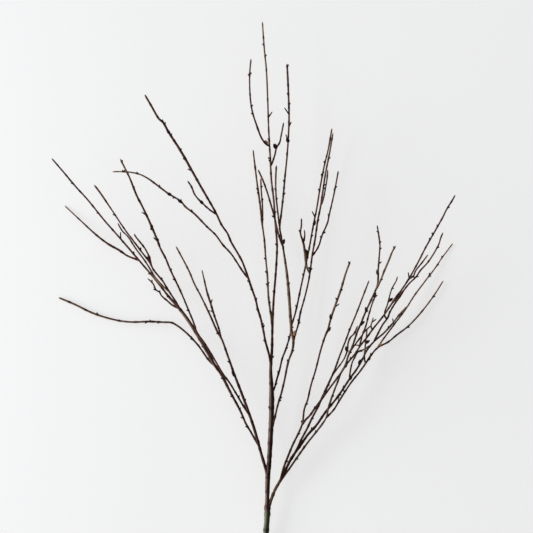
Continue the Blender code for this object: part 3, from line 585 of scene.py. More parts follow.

# %% [markdown]
# ## The skin of a shoot
# Blender's curve bevel makes a clean tube, but it has no place for what makes a twig look grown:
# the collar at its root, the swelling at each node, a section that isn't quite round, and the
# plump bud that ends it. So the skin is made ring by ring, and a short table trims the shoots that
# look finer or stouter in the photograph than their radii make them. Each ring carries five values
# for the bark: its age, how green, tan and red it is, and how near a knot. Another value, for painted
# light, tells how far each point faces left: the bark is painted paler on the left flank and darker
# on the right, as light and shade. The grain attribute unrolls the bark, round and along the shoot,
# so that streaks follow every bend.

# %% Where a shoot is finer or stouter than its radii say, by shares of its length
TRIM = {
    "leader": ((0.0, 1.0), (0.3, 1.02), (0.45, 1.05), (0.6, 0.97), (0.8, 0.95), (0.92, 1.06), (1.0, 1.06)),
    "crown_right": ((0.0, 0.95), (0.3, 0.86), (1.0, 0.83)),
    "inner_right": ((0.0, 1.0), (0.6, 1.0), (0.68, 1.06), (1.0, 1.06)),
    "inner_right_side": ((0.0, 1.0), (0.7, 1.1), (0.85, 1.3), (1.0, 1.3)),
    "crossing": ((0.0, 1.0), (1.0, 1.14)),
    "inner_left": ((0.0, 1.05), (0.3, 1.0), (0.36, 0.93), (0.5, 1.0), (0.6, 1.1), (1.0, 1.1)),
    "fork_right": ((0.0, 0.92), (0.35, 0.85), (0.5, 1.0), (1.0, 1.0)),
    "long_side": ((0.0, 1.0), (0.3, 1.06), (0.4, 1.2), (0.6, 1.15), (1.0, 1.05)),
    "left_inner": ((0.0, 1.1), (0.35, 1.1), (0.45, 0.96), (0.6, 1.05), (1.0, 1.0)),
    "left_arm_side": ((0.0, 0.95), (0.6, 0.93), (0.7, 1.15), (1.0, 1.15)),
    "left_short": ((0.0, 1.0), (0.3, 0.95), (0.6, 0.8), (1.0, 0.76)),
    "left_floor": ((0.0, 1.07), (0.5, 1.07), (0.6, 1.0), (0.8, 1.12), (1.0, 1.12)),
    "right_inner": ((0.0, 1.1), (0.4, 1.12), (0.6, 1.03), (1.0, 0.97)),
    "right_middle": ((0.0, 1.1), (0.4, 1.2), (0.6, 1.05), (1.0, 1.0)),
    "right_high": ((0.0, 1.0), (0.85, 1.04), (0.93, 0.97), (1.0, 0.92)),
    "right_hook": ((0.0, 0.95), (0.4, 0.86), (1.0, 0.88)),
    "right_leader": (
        (0.0, 1.0), (0.63, 1.0), (0.645, 1.45), (0.665, 1.45), (0.68, 1.0), (1.0, 1.0)),
    "right_upper": ((0.0, 1.0), (0.34, 1.0), (0.37, 1.45), (0.43, 1.45), (0.46, 1.0), (1.0, 1.0)),
}
UNTRIMMED = ((0.0, 1.0), (1.0, 1.0))


def along_table(table, share):
    """The value that a table of (share, value) pairs gives at a share."""
    for (low, first), (high, second) in zip(table, table[1:]):
        if share <= high:
            return first + (second - first) * (share - low) / (high - low)
    return table[-1][1]


print(len(TRIM), "shoots are trimmed")

# %% How thick a shoot is, along its length
RING_STEP = 2.0
SIDES = 10
COLLAR_SWELL = 0.22
COLLAR_REACH = 4.5
NODE_SWELL = 0.24
NODE_REACH = 2.0
KNOT_SWELL = 0.36
KNOT_REACH = 1.7
KNOBBLE = 0.16
KNOBBLE_LENGTH = 6.0
TIP_REACH = 4.5
TIP_SWELL = 0.12
TIP_BLUNT = 0.12
TIP_RINGS = 6
TIP_CROWDING = 1.3


def leader_radius(y):
    """The leader's radius at a place along the twig, eased from one table row to the next."""
    for below, above in zip(LEADER, LEADER[1:]):
        if y <= above[1]:
            share = max(0.0, (y - below[1]) / (above[1] - below[1]))
            share = share * share * (3 - 2 * share)
            return below[3] + (above[3] - below[3]) * share
    return LEADER[-1][3]


def hump(distance, reach):
    """A smooth bump: 1 at no distance, and almost 0 past twice the reach."""
    return math.exp(-(distance / reach) ** 2)


def thickness(name, y, distance, length):
    """A shoot's radius where it has gone a distance, with its collar, nodes and end bud."""
    if name == "leader":
        radius = leader_radius(y)
    else:
        radius = radius_at(name, distance / length)
        radius *= 1 + COLLAR_SWELL * hump(distance - COLLAR_REACH, COLLAR_REACH)
    radius *= along_table(TRIM.get(name, UNTRIMMED), distance / length)
    radius *= 1 + KNOBBLE * noise.noise(Vector((distance / KNOBBLE_LENGTH, len(name) + length, 0)))
    for node in nodes_of[name]:
        radius += NODE_SWELL * hump(distance - node, NODE_REACH)
    for knot in knots_of[name]:
        radius += KNOT_SWELL * hump(distance - knot, KNOT_REACH)
    share = (length - distance) / TIP_REACH
    if share < 1:
        share = max(0.0, share)
        radius *= math.sqrt(share) * (1 + TIP_SWELL * math.sin(math.pi * share)) + TIP_BLUNT * (1 - share)
    return radius


def ring_places(length):
    """How far along a shoot its rings are: even steps, and closer ones round the bud that ends it."""
    even = max(2, round((length - TIP_REACH) / RING_STEP))
    body = [(length - TIP_REACH) * i / even for i in range(even)]
    tip = [length - TIP_REACH * (1 - i / TIP_RINGS) ** TIP_CROWDING for i in range(TIP_RINGS + 1)]
    return body + tip


print("leader radius by its stem", round(leader_radius(LEADER[1][1]), 2), "mm")

# %% [markdown]
# ## Old bark, green bark and tan bark
# The photograph shows three barks. Most shoots are a very dark red-brown. The stem below the
# swollen node is olive green, and the leader above it is grey-brown. The higher a shoot grows, the
# redder it is. Some shoots turn tan or khaki along part of their length, so a short table says
# where, by shares of their length.

# %% Which stretches are tan
TAN = {
    "leader": ((0.0, 0.0), (0.55, 0.0), (0.7, 0.5), (1.0, 0.75)),
    "inner_left": ((0.0, 0.1), (0.1, 0.9), (0.3, 0.85), (0.42, 0.4), (1.0, 0.4)),
    "inner_right": ((0.0, 0.1), (0.22, 0.2), (0.28, 0.7), (0.42, 0.8), (0.52, 0.2), (1.0, 0.2)),
    "left_arm": ((0.0, 0.0), (1.0, 0.1)),
    "knotted": ((0.0, 0.5), (0.15, 0.8), (0.45, 0.7), (0.6, 0.1), (1.0, 0.15)),
    "left_arm_low": ((0.0, 0.0), (0.45, 0.1), (0.55, 0.5), (0.8, 0.6), (0.88, 0.9), (1.0, 1.0)),
    "left_inner": ((0.0, 0.0), (0.6, 0.05), (0.75, 0.5), (1.0, 0.6)),
    "left_middle": ((0.0, 0.0), (0.9, 0.1), (0.95, 0.6), (1.0, 0.8)),
    "left_low": (
        (0.0, 0.0), (0.37, 0.05), (0.395, 0.5), (0.43, 0.5), (0.45, 0.05), (0.53, 0.05),
        (0.55, 0.9), (0.57, 0.9), (0.59, 0.05), (1.0, 0.3)),
    "left_between": ((0.0, 1.0), (0.2, 1.0), (0.3, 0.2), (1.0, 0.2)),
    "right_high": ((0.0, 0.0), (0.2, 0.1), (0.3, 0.45), (0.4, 0.4), (0.45, 0.1), (1.0, 0.3)),
    "left_floor": ((0.0, 0.0), (0.3, 0.1), (0.4, 0.5), (0.9, 0.4), (1.0, 0.6)),
    "right_outer": ((0.0, 1.0), (0.06, 0.9), (0.1, 0.2), (0.25, 0.2), (0.38, 0.9), (1.0, 0.9)),
    "right_inner": ((0.0, 0.0), (0.65, 0.1), (0.82, 0.6), (1.0, 0.75)),
    "right_high_side": ((0.0, 0.4), (0.3, 1.0), (1.0, 1.0)),
    "right_spray": (
        (0.0, 0.85), (0.07, 0.75), (0.12, 0.35), (0.17, 0.0), (0.85, 0.1), (0.92, 0.9),
        (1.0, 1.0)),
    "right_sucker": ((0.0, 0.6), (1.0, 0.7)),
    "right_fork": ((0.0, 0.6), (1.0, 0.8)),
    "right_twist": ((0.0, 0.0), (0.6, 0.1), (0.75, 0.7), (1.0, 0.8)),
    "right_leader": ((0.0, 0.0), (0.16, 0.2), (0.22, 0.5), (0.33, 0.45), (0.4, 0.1), (1.0, 0.15)),
}
PLAIN_TAN = ((0.0, 0.0), (0.6, 0.1), (1.0, 0.5))
GREEN_END = 31
GREEN_FADE = 3
RED_FROM = 100
RED_FULL = 420
OLD_FROM = 1.6
OLD_SPAN = 1.6
DARK_REACH = 3.2


def bark_values(name, y, radius, distance, length):
    """The age, greenness, tan, redness and knottiness of the bark, each from 0 to 1."""
    age = min(1.0, max(0.0, (radius - OLD_FROM) / OLD_SPAN))
    green = 0.0
    if name == "leader":
        green = min(1.0, max(0.0, (GREEN_END + GREEN_FADE - y) / GREEN_FADE))
    red = min(1.0, max(0.0, (y - RED_FROM) / (RED_FULL - RED_FROM)))
    knot = sum(hump(distance - at, DARK_REACH) for at in (*nodes_of[name], *knots_of[name]))
    return age, green, along_table(TAN.get(name, PLAIN_TAN), distance / length), red, min(1.0, knot)


print(len(TAN), "shoots have tan stretches of their own")

# %% A closed skin, ring by ring
WOBBLE = 0.08
WOBBLE_SCALE = 0.35
LOOK_AHEAD = 1.5
GRAIN_APART = 700
# Painted light: each point is painted paler the further it faces left, and the right flank is left in painted
# shade.
PAINTED_LIGHT_BASE = 0.15
PAINTED_LIGHT_LEAN = 0.95


class Skin:
    """The rings of several shoots, gathered into one mesh."""

    def __init__(self, name):
        self.name = name
        self.points = []
        self.faces = []
        self.values = {"age": [], "green": [], "tan": [], "red": [], "knot": []}
        self.painted_light_mask = []
        self.grain = []

    def add_shoot(self, name, order):
        """Adds a shoot's rings, and closes both of its ends."""
        line = lines[name]
        lengths = lengths_along(line)
        length = lengths[-1]
        places = ring_places(length)
        first = len(self.points)
        side = None
        for distance in places:
            middle = point_at(line, lengths, distance)
            ahead = point_at(line, lengths, min(length, distance + LOOK_AHEAD))
            behind = point_at(line, lengths, max(0.0, distance - LOOK_AHEAD))
            along = (ahead - behind).normalized()
            side = along.orthogonal() if side is None else side - along * side.dot(along)
            side.normalize()
            radius = thickness(name, middle.y, distance, length)
            self.add_ring(middle, along, side, radius, distance, order)
            for key, value in zip(self.values, bark_values(name, middle.y, radius, distance, length)):
                self.values[key] += [value] * SIDES
        self.close(first, len(places) - 1)

    def add_ring(self, middle, along, side, radius, distance, order):
        """One ring, a little out of round, as bark is."""
        other = along.cross(side)
        for k in range(SIDES):
            angle = 2 * math.pi * k / SIDES
            out = side * math.cos(angle) + other * math.sin(angle)
            place = middle + out * radius
            uneven = noise.noise(place * WOBBLE_SCALE) * WOBBLE * radius
            self.points.append(in_frame(place + out * uneven))
            # Painted light: how far this point faces left, which paints its left flank paler.
            self.painted_light_mask.append(min(1.0, max(0.0, PAINTED_LIGHT_BASE - PAINTED_LIGHT_LEAN * out.x)))
            self.grain.append(Vector((
                radius * math.cos(angle), radius * math.sin(angle), distance + GRAIN_APART * order)) * MM)

    def close(self, first, count):
        """The faces between the rings, and one face over each end."""
        for i in range(count):
            low = first + i * SIDES
            for k in range(SIDES):
                after = (k + 1) % SIDES
                self.faces.append((low + k, low + after, low + SIDES + after, low + SIDES + k))
        self.faces.append(tuple(first + k for k in reversed(range(SIDES))))
        self.faces.append(tuple(first + count * SIDES + k for k in range(SIDES)))

    def make(self):
        """The finished object, shaded smooth, with its values on its vertices."""
        mesh = bpy.data.meshes.new(self.name)
        mesh.from_pydata(self.points, [], self.faces)
        for key, numbers in (*self.values.items(), ("painted_light_mask", self.painted_light_mask)):
            mesh.attributes.new(key, "FLOAT", "POINT").data.foreach_set("value", numbers)
        flat = [c for v in self.grain for c in v]
        mesh.attributes.new("grain", "FLOAT_VECTOR", "POINT").data.foreach_set("vector", flat)
        mesh.shade_smooth()
        made = bpy.data.objects.new(self.name, mesh)
        bpy.context.scene.collection.objects.link(made)
        print(self.name, "has", len(mesh.polygons), "faces")
        return made


# %% The stem and leader, and the three sprays
def spray_of(name):
    """The spray that a shoot belongs to."""
    if name.startswith(("left_arm", "inner", "outer", "fork", "crossing", "long", "knotted", "crown")):
        return "middle_spray"
    return "left_spray" if name.startswith("left") else "right_spray"


skins = {name: Skin(name) for name in ("stem_and_leader", "left_spray", "middle_spray", "right_spray")}
for order, shoot_name in enumerate(lines):
    target = "stem_and_leader" if shoot_name == "leader" else spray_of(shoot_name)
    skins[target].add_shoot(shoot_name, order)
barked = [skin.make() for skin in skins.values()]

# %% [markdown]
# ## Spurs
# A spur is a very short side twig that has grown for a year and stopped. Here the curve bevel is
# good enough: a short line with a radius at each point, converted to a mesh.

# %% Spurs from bevelled curves
SPUR_RADIUS = 1.15
SPUR_TIP_RADIUS = 0.85
SPUR_SWELL = 0.25
SPUR_SWELL_AT = 0.85
SPUR_SWELL_REACH = 0.12
SPUR_CREASE = math.radians(50)


def deselect_all():
    """Nothing selected, so that the next operator acts on the new piece alone."""
    for thing in bpy.context.selected_objects:
        thing.select_set(False)


def make_spur(number, parent, lift, route):
    """One spur, with its root sunk in its shoot."""
    height = nearest_height(lines[parent], *route[0])
    count = len(route) - 1
    points = [Vector((x, y, height + lift * i / count)) for i, (x, y) in enumerate(route)]
    line = curve_through(points)
    curve = bpy.data.curves.new(f"spur_{number}", "CURVE")
    curve.dimensions = "3D"
    curve.bevel_depth = MM
    curve.bevel_resolution = 2
    curve.use_fill_caps = True
    spline = curve.splines.new("POLY")
    spline.points.add(len(line) - 1)
    for i, (point, place) in enumerate(zip(spline.points, line)):
        share = i / (len(line) - 1)
        swell = 1 + SPUR_SWELL * hump(share - SPUR_SWELL_AT, SPUR_SWELL_REACH)
        end = math.sqrt(max(0.05, 1 - share ** 6))
        point.co = (*in_frame(place), 1)
        point.radius = (SPUR_RADIUS + (SPUR_TIP_RADIUS - SPUR_RADIUS) * share) * swell * end
    made = bpy.data.objects.new(f"spur_{number}", curve)
    bpy.context.scene.collection.objects.link(made)
    return made


deselect_all()
spur_pieces = [make_spur(number, *row) for number, row in enumerate(SPURS)]
for piece in spur_pieces:
    piece.select_set(True)
bpy.context.view_layer.objects.active = spur_pieces[0]
bpy.ops.object.convert(target="MESH")
bpy.ops.object.join()
spurs = bpy.context.object
spurs.name = "spurs"
bpy.ops.object.mode_set(mode="EDIT")
bpy.ops.mesh.select_all(action="SELECT")
bpy.ops.mesh.remove_doubles(threshold=0.00001)
bpy.ops.mesh.normals_make_consistent(inside=False)
bpy.ops.object.mode_set(mode="OBJECT")
bpy.ops.object.shade_smooth_by_angle(angle=SPUR_CREASE)
print("spurs have", len(spurs.data.polygons), "faces")

# %% [markdown]
# ## A bud
# A winter bud is a small pointed cone of overlapping scales, pressed towards its shoot. It is
# modelled once: a ball is stretched, its upper half is drawn to a point, and the scales are a
# raised step round it. Then it is copied to every place, each copy with its own mesh, and the
# copies are joined.

# %% Model one bud from a ball
BUD_RINGS = 6
BUD_SECTORS = 8
SCALES_FROM = 0.02
SCALES_TO = 0.28
SCALE_STEP = 0.05
BUD_GIRTH = 0.62
BUD_FOOT_WIDTH = 1.15
BUD_NARROWING = 0.75
BUD_TAPER_POWER = 1.6
BUD_LEAN_IN = 0.10
BUD_STRETCH = 1.02
BUD_SUNK = 0.12


def model_bud():
    """One bud that stands on the origin and points along +Z, 1 long and about 0.6 wide."""
    deselect_all()
    bpy.ops.mesh.primitive_uv_sphere_add(segments=BUD_SECTORS, ring_count=BUD_RINGS, radius=0.5)
    made = bpy.context.object
    made.name = "bud"
    bpy.ops.object.mode_set(mode="EDIT")
    bm = bmesh.from_edit_mesh(made.data)
    for face in bm.faces:
        face.select_set(SCALES_FROM < face.calc_center_median().z < SCALES_TO)
    bmesh.update_edit_mesh(made.data)
    bpy.ops.mesh.inset(thickness=SCALE_STEP, depth=SCALE_STEP)
    bpy.ops.object.mode_set(mode="OBJECT")
    for vertex in made.data.vertices:
        height = vertex.co.z + 0.5
        narrow = (BUD_FOOT_WIDTH - BUD_NARROWING * height ** BUD_TAPER_POWER) * BUD_GIRTH
        vertex.co.x = vertex.co.x * narrow - BUD_LEAN_IN * height * height
        vertex.co.y *= narrow
        vertex.co.z = height * BUD_STRETCH - BUD_SUNK
    bpy.ops.object.shade_smooth()
    return made


bud_pattern = model_bud()
print("one bud has", len(bud_pattern.data.polygons), "faces")

# %% Copy the bud to every place
PLUMP_BUD_LENGTH = 8.8
PLUMP_BUD_WIDTH = 0.95
STOUT_BUD_WIDTH = 1.08
SHORT_BUD_LENGTH = 4.8
BUD_LIFT = 1.0
SMALL_BUD_WIDTH = 0.9
AXIL_BUD_LENGTH = 7.8
SIZE_SEED = 5
SMALLEST = 0.85
LARGEST = 1.1


def stand_bud(place, pointing, length, wide):
    """A copy of the bud with its foot at a place, in the table's millimetres."""
    turn = pointing.to_track_quat("Z", "X").to_matrix().to_4x4()
    size = Matrix.Diagonal((length * wide * MM, length * wide * MM, length * MM, 1))
    copy = bpy.data.objects.new("bud_copy", bud_pattern.data.copy())
    copy.data.transform(Matrix.Translation(in_frame(place)) @ turn @ size)
    bpy.context.scene.collection.objects.link(copy)
    return copy


def stand_larger(rows, length, wide):
    """Larger buds, each at its own place on its shoot."""
    stood = []
    for name, place, way in rows:
        pointing = Vector((*way, BUD_LIFT)).normalized()
        root = Vector((*place, nearest_height(lines[name], *place)))
        stood.append(stand_bud(root, pointing, length, wide))
    return stood


def join_all(name, copies):
    """The copies as one object, as Ctrl+J joins a selection."""
    deselect_all()
    for copy in copies:
        copy.select_set(True)
    bpy.context.view_layer.objects.active = copies[0]
    bpy.ops.object.join()
    made = bpy.context.object
    made.name = name
    print(len(copies), name, "joined, with", len(made.data.polygons), "faces")
    return made


bud_draw = random.Random(SIZE_SEED)
bud_copies = stand_larger(FAT_BUDS, PLUMP_BUD_LENGTH, PLUMP_BUD_WIDTH)
bud_copies += stand_larger(SHORT_BUDS, SHORT_BUD_LENGTH, PLUMP_BUD_WIDTH)
bud_copies += stand_larger(STOUT_BUDS, PLUMP_BUD_LENGTH, STOUT_BUD_WIDTH)
for bud in small_buds:
    length = bud.length * bud_draw.uniform(SMALLEST, LARGEST)
    bud_copies.append(stand_bud(bud.place, bud.pointing, length, SMALL_BUD_WIDTH))
buds = join_all("buds", bud_copies)
axil_buds = join_all("axil_buds", stand_larger(AXIL_BUDS, AXIL_BUD_LENGTH, PLUMP_BUD_WIDTH))
bpy.data.objects.remove(bud_pattern)

# %% [markdown]
# ## The cut end
# The photograph's edge cuts the stem off, so its end is finished plainly, with a clean straight cut.
# A disc of pale wood, with rings round a small pith, lies within it, less than a tenth of a
# millimetre behind the flat end of the bark, which covers it.

# %% A disc of cut wood, with rings
CUT_RINGS = 5
CUT_SHARE = 0.9
CUT_THICKNESS = 0.8
CUT_INSET = 0.42
CUT_RING_WIDTH = 0.62
CUT_RING_DEPTH = 0.05
CUT_CREASE = math.radians(30)


def model_cut_end():
    """Pale wood with rings, just within the stem's flat end."""
    line = lines["leader"]
    along = (line[1] - line[0]).normalized()
    deselect_all()
    bpy.ops.mesh.primitive_cylinder_add(
        vertices=32, radius=LEADER[0][3] * CUT_SHARE * MM, depth=CUT_THICKNESS * MM)
    made = bpy.context.object
    made.name = "cut_end"
    bpy.ops.object.mode_set(mode="EDIT")
    bm = bmesh.from_edit_mesh(made.data)
    for face in bm.faces:
        face.select_set(face.normal.z < -0.9)
    bmesh.update_edit_mesh(made.data)
    for ring in range(CUT_RINGS):
        depth = CUT_RING_DEPTH if ring % 2 else -CUT_RING_DEPTH
        bpy.ops.mesh.inset(thickness=CUT_RING_WIDTH * MM, depth=depth * MM)
    bpy.ops.object.mode_set(mode="OBJECT")
    bpy.ops.object.shade_smooth_by_angle(angle=CUT_CREASE)
    turn = along.to_track_quat("Z", "X").to_matrix().to_4x4()
    made.data.transform(Matrix.Translation(in_frame(line[0] + along * CUT_INSET)) @ turn)
    print("the cut end has", len(made.data.polygons), "faces")
    return made


cut_end = model_cut_end()

# %% [markdown]
# ## Materials as sums
# A material is a flow of values through nodes. A small class lets us write those flows as Python
# sums: adding or multiplying flows, or taking one from a number, adds the Math node that does it.
# One method makes any other node from its type, its settings and what feeds its sockets.

# %% A board of nodes, and the flows on it
DULL = 0.15
BUMP = 0.6


class Flow:
    """A value on its way through a material's nodes."""

    def __init__(self, board, socket):
        self.board = board
        self.socket = socket

    def sum(self, operation, first, second):
        """The Math node that does one operation on two values."""
        return self.board.node("ShaderNodeMath", {"operation": operation}, {0: first, 1: second})

    def __add__(self, other):
        return self.sum("ADD", self, other)

    def __radd__(self, other):
        return self.sum("ADD", other, self)

    def __rsub__(self, other):
        return self.sum("SUBTRACT", other, self)

    def __mul__(self, other):
        return self.sum("MULTIPLY", self, other)


class Board:
    """A material's nodes."""

    def __init__(self, name):
        self.material = bpy.data.materials.new(name)
        self.material.use_nodes = True
        self.tree = self.material.node_tree
        self.shader = self.tree.nodes["Principled BSDF"]

    def node(self, kind, settings=None, values=None, output=0):
        """A node of a kind: its settings are set first, then its sockets are fed."""
        made = self.tree.nodes.new(kind)
        for key, value in (settings or {}).items():
            setattr(made, key, value)
        for key, value in (values or {}).items():
            self.feed(made.inputs[key], value)
        return Flow(self, made.outputs[output])

    def feed(self, socket, value):
        """Links a flow to a socket, or sets a plain value on it."""
        if isinstance(value, Flow):
            self.tree.links.new(value.socket, socket)
        else:
            socket.default_value = value

    def attribute(self, name):
        """A number that the mesh carries."""
        return self.node("ShaderNodeAttribute", {"attribute_name": name}, None, 2)

    def vector(self, name):
        """A vector that the mesh carries."""
        return self.node("ShaderNodeAttribute", {"attribute_name": name}, None, 1)

    def place(self):
        """Where a point lies in its object's own coordinates."""
        return self.node("ShaderNodeTexCoord", None, None, 3)

    def stretch(self, vector, scale):
        """A vector with each of its parts scaled."""
        return self.node("ShaderNodeVectorMath", {"operation": "MULTIPLY"}, {0: vector, 1: scale})

    def cloud(self, vector, scale, detail=3.0, rough=0.55):
        """Soft noise from 0 to 1."""
        return self.node("ShaderNodeTexNoise", None,
                         {"Vector": vector, "Scale": scale, "Detail": detail, "Roughness": rough})

    def ramp(self, value, low, high):
        """0 below low, 1 above high, and smooth between."""
        return self.node("ShaderNodeMapRange", {"interpolation_type": "SMOOTHSTEP"},
                         {"Value": value, "From Min": low, "From Max": high})

    def blend(self, factor, first, second):
        """From the first colour to the second."""
        return self.node("ShaderNodeMix", {"data_type": "RGBA", "clamp_factor": True},
                         {0: factor, 6: first, 7: second}, 2)

    def finish(self, colour, roughness, height, depth):
        """Feeds the shader, with a bump of a depth in metres."""
        self.shader.inputs["Specular IOR Level"].default_value = DULL
        self.feed(self.shader.inputs["Base Color"], colour)
        self.feed(self.shader.inputs["Roughness"], roughness)
        bump = self.node("ShaderNodeBump", None, {"Strength": BUMP, "Distance": depth, "Height": height})
        self.feed(self.shader.inputs["Normal"], bump)
        return self.material


print("the board is ready")

# %% [markdown]
# ## Bark
# Young bark is smooth, and dark red-brown. It is streaked along the shoot, and pale breathing
# pores, called lenticels, dot it. Old bark is greyer and rougher. The left flank of each shoot is
# painted paler than its right flank, as painted light, and the green and tan stretches have painted
# lit and shaded colours as well. The noise is read from the grain attribute,
# stretched along the shoot, so the streaks run the right way on every shoot.

# %% The bark's colours and material
DARK_BARK = (0.0300, 0.0090, 0.0048, 1)
RED_BARK = (0.165, 0.040, 0.023, 1)
GREY_BARK = (0.062, 0.034, 0.026, 1)
OLD_DARK = (0.018, 0.008, 0.005, 1)
# Painted light: the paler colours painted on the left flank of young and old bark.
PAINTED_LIT_YOUNG_BARK = (0.350, 0.145, 0.092, 1)
PAINTED_LIT_OLD_BARK = (0.460, 0.310, 0.250, 1)
# The green stem's colours, painted lit on the left flank and shaded on the right, mixed with its streaks.
GREEN_PALE_STREAK_AND_PAINTED_LIGHT = (0.370, 0.390, 0.280, 1)
GREEN_DARK_STREAK_AND_PAINTED_SHADE = (0.042, 0.038, 0.018, 1)
# The tan stretches' colours, painted lit on the left flank and shaded on the right, mixed with their streaks.
TAN_PALE_STREAK_AND_PAINTED_LIGHT = (0.520, 0.335, 0.200, 1)
TAN_DARK_STREAK_AND_PAINTED_SHADE = (0.062, 0.034, 0.021, 1)
KNOT_BARK = (0.024, 0.009, 0.005, 1)
KNOT_SHADE = 0.6
PORE = (0.22, 0.17, 0.13, 1)
STREAK_SCALE = 900
STREAK_STRETCH = (1, 1, 0.08)
PATCH_SCALE = 70
PATCH_STRETCH = (1, 1, 0.5)
FINE_SCALE = 2600
PORE_SCALE = 330
PORE_STRETCH = (1, 1, 0.45)
PORE_SHARE = 0.45
BARK_RELIEF = 0.00025


def make_bark():
    """Bark whose age, colours and knots come from the skin."""
    board = Board("twig_bark")
    grain = board.vector("grain")
    age = board.attribute("age")
    green = board.attribute("green")
    tan = board.attribute("tan")
    red = board.attribute("red")
    knot = board.attribute("knot")
    # Painted light and shade: how far each point faces left.
    painted_light_mask = board.attribute("painted_light_mask")
    streaks = board.cloud(board.stretch(grain, STREAK_STRETCH), STREAK_SCALE)
    patches = board.cloud(board.stretch(grain, PATCH_STRETCH), PATCH_SCALE, 2.0)
    fine = board.cloud(grain, FINE_SCALE, 4.0, 0.65)
    young = board.blend(board.ramp(streaks, 0.35, 0.7) * (0.25 + red * 0.75), DARK_BARK, RED_BARK)
    old = board.blend(board.ramp(streaks * 0.6 + patches * 0.4, 0.4, 0.62), OLD_DARK, GREY_BARK)
    colour = board.blend(age, young, old)
    # Painted light: the left flank is painted paler than the right.
    painted_lit_bark = board.blend(age, PAINTED_LIT_YOUNG_BARK, PAINTED_LIT_OLD_BARK)
    lit = board.ramp(painted_light_mask, 0.1, 0.6)
    colour = board.blend(lit * (board.ramp(patches, 0.3, 0.7) * 0.5 + age * 0.5), colour, painted_lit_bark)
    # Painted light and shade on the green stem, mixed with its streaks.
    green_bark_with_painted_light = board.blend(board.ramp(streaks * 0.3 + painted_light_mask * 0.7, 0.1, 0.7), GREEN_DARK_STREAK_AND_PAINTED_SHADE, GREEN_PALE_STREAK_AND_PAINTED_LIGHT)
    colour = board.blend(green, colour, green_bark_with_painted_light)
    # Painted light and shade on the tan stretches, mixed with their streaks.
    tan_bark_with_painted_light = board.blend(board.ramp(streaks * 0.3 + painted_light_mask * 0.7, 0.05, 0.5), TAN_DARK_STREAK_AND_PAINTED_SHADE, TAN_PALE_STREAK_AND_PAINTED_LIGHT)
    colour = board.blend(tan * board.ramp(patches, 0.1, 0.45), colour, tan_bark_with_painted_light)
    colour = board.blend(knot * KNOT_SHADE, colour, KNOT_BARK)
    cells = board.node("ShaderNodeTexVoronoi", None,
                       {"Vector": board.stretch(grain, PORE_STRETCH), "Scale": PORE_SCALE})
    pores = (1 - board.ramp(cells, 0.10, 0.2)) * board.ramp(patches, 0.45, 0.6)
    colour = board.blend(pores * PORE_SHARE, colour, PORE)
    roughness = 0.6 + age * 0.2 + fine * 0.15
    height = streaks * 0.6 + fine * 0.3 + pores * 0.7
    return board.finish(colour, roughness, height, BARK_RELIEF)


bark = make_bark()
print("bark has", len(bark.node_tree.nodes), "nodes")

# %% [markdown]
# ## Bud scales, spurs and cut wood
# Buds are darker than the bark, and three in the angles of shoots are orange. Spurs have plain
# young bark, which reads Object coordinates because they carry no grain. The cut wood is pale,
# with darker growth rings round its pith.

# %% The other finishes
BUD_DARK = (0.010, 0.006, 0.005, 1)
BUD_RED = (0.060, 0.018, 0.011, 1)
SPUR_BROWN = (0.055, 0.030, 0.019, 1)
AXIL_DARK = (0.560, 0.260, 0.100, 1)
AXIL_ORANGE = (0.900, 0.560, 0.310, 1)
WOOD_PALE = (0.55, 0.43, 0.28, 1)
WOOD_RING = (0.36, 0.25, 0.14, 1)
PITH = (0.30, 0.20, 0.11, 1)
BUD_PATCH_SCALE = 900
SPUR_PATCH_SCALE = 600
SMOOTH_RELIEF = 0.0002
WOOD_RING_SCALE = 5200
WOOD_NOISE_SCALE = 1400
WOOD_RELIEF = 0.0001
PITH_FROM = 0.0005
PITH_TO = 0.0009


def make_bud_scales(name, dark, light):
    """Scales of two colours, in small patches."""
    board = Board(name)
    place = board.place()
    patches = board.cloud(place, BUD_PATCH_SCALE)
    colour = board.blend(board.ramp(patches, 0.35, 0.65), dark, light)
    return board.finish(colour, 0.45 + patches * 0.2, patches, SMOOTH_RELIEF)


def make_spur_bark():
    """Young bark, speckled brown."""
    board = Board("spur_bark")
    place = board.place()
    patches = board.cloud(place, SPUR_PATCH_SCALE)
    colour = board.blend(board.ramp(patches, 0.4, 0.65), DARK_BARK, SPUR_BROWN)
    return board.finish(colour, 0.55 + patches * 0.15, patches, SMOOTH_RELIEF)


def make_cut_wood():
    """Pale wood with rings round the stem's middle."""
    board = Board("cut_wood")
    middle = in_frame(lines["leader"][0])
    place = board.place()
    off = board.node("ShaderNodeVectorMath", {"operation": "SUBTRACT"}, {0: place, 1: tuple(middle)})
    far = board.node("ShaderNodeVectorMath", {"operation": "LENGTH"}, {0: off}, 1)
    rings = board.node("ShaderNodeMath", {"operation": "SINE"}, {0: far * WOOD_RING_SCALE})
    uneven = board.cloud(place, WOOD_NOISE_SCALE)
    colour = board.blend(board.ramp(rings * 0.5 + uneven * 0.6, 0.35, 0.75), WOOD_PALE, WOOD_RING)
    colour = board.blend(1 - board.ramp(far, PITH_FROM, PITH_TO), colour, PITH)
    return board.finish(colour, 0.75 + uneven * 0.1, rings * 0.3 + uneven, WOOD_RELIEF)


def dress(piece, material):
    """The piece in one material alone."""
    piece.data.materials.clear()
    piece.data.materials.append(material)


for piece in barked:
    dress(piece, bark)
dress(buds, make_bud_scales("bud_scales", BUD_DARK, BUD_RED))
dress(axil_buds, make_bud_scales("axil_scales", AXIL_DARK, AXIL_ORANGE))
dress(spurs, make_spur_bark())
dress(cut_end, make_cut_wood())
print("materials", [m.name for m in bpy.data.materials])

# %% [markdown]
# ## Tie the pieces to the measured solid
# Every piece rides on the twig's one body and stands for the solid, which is then hidden.

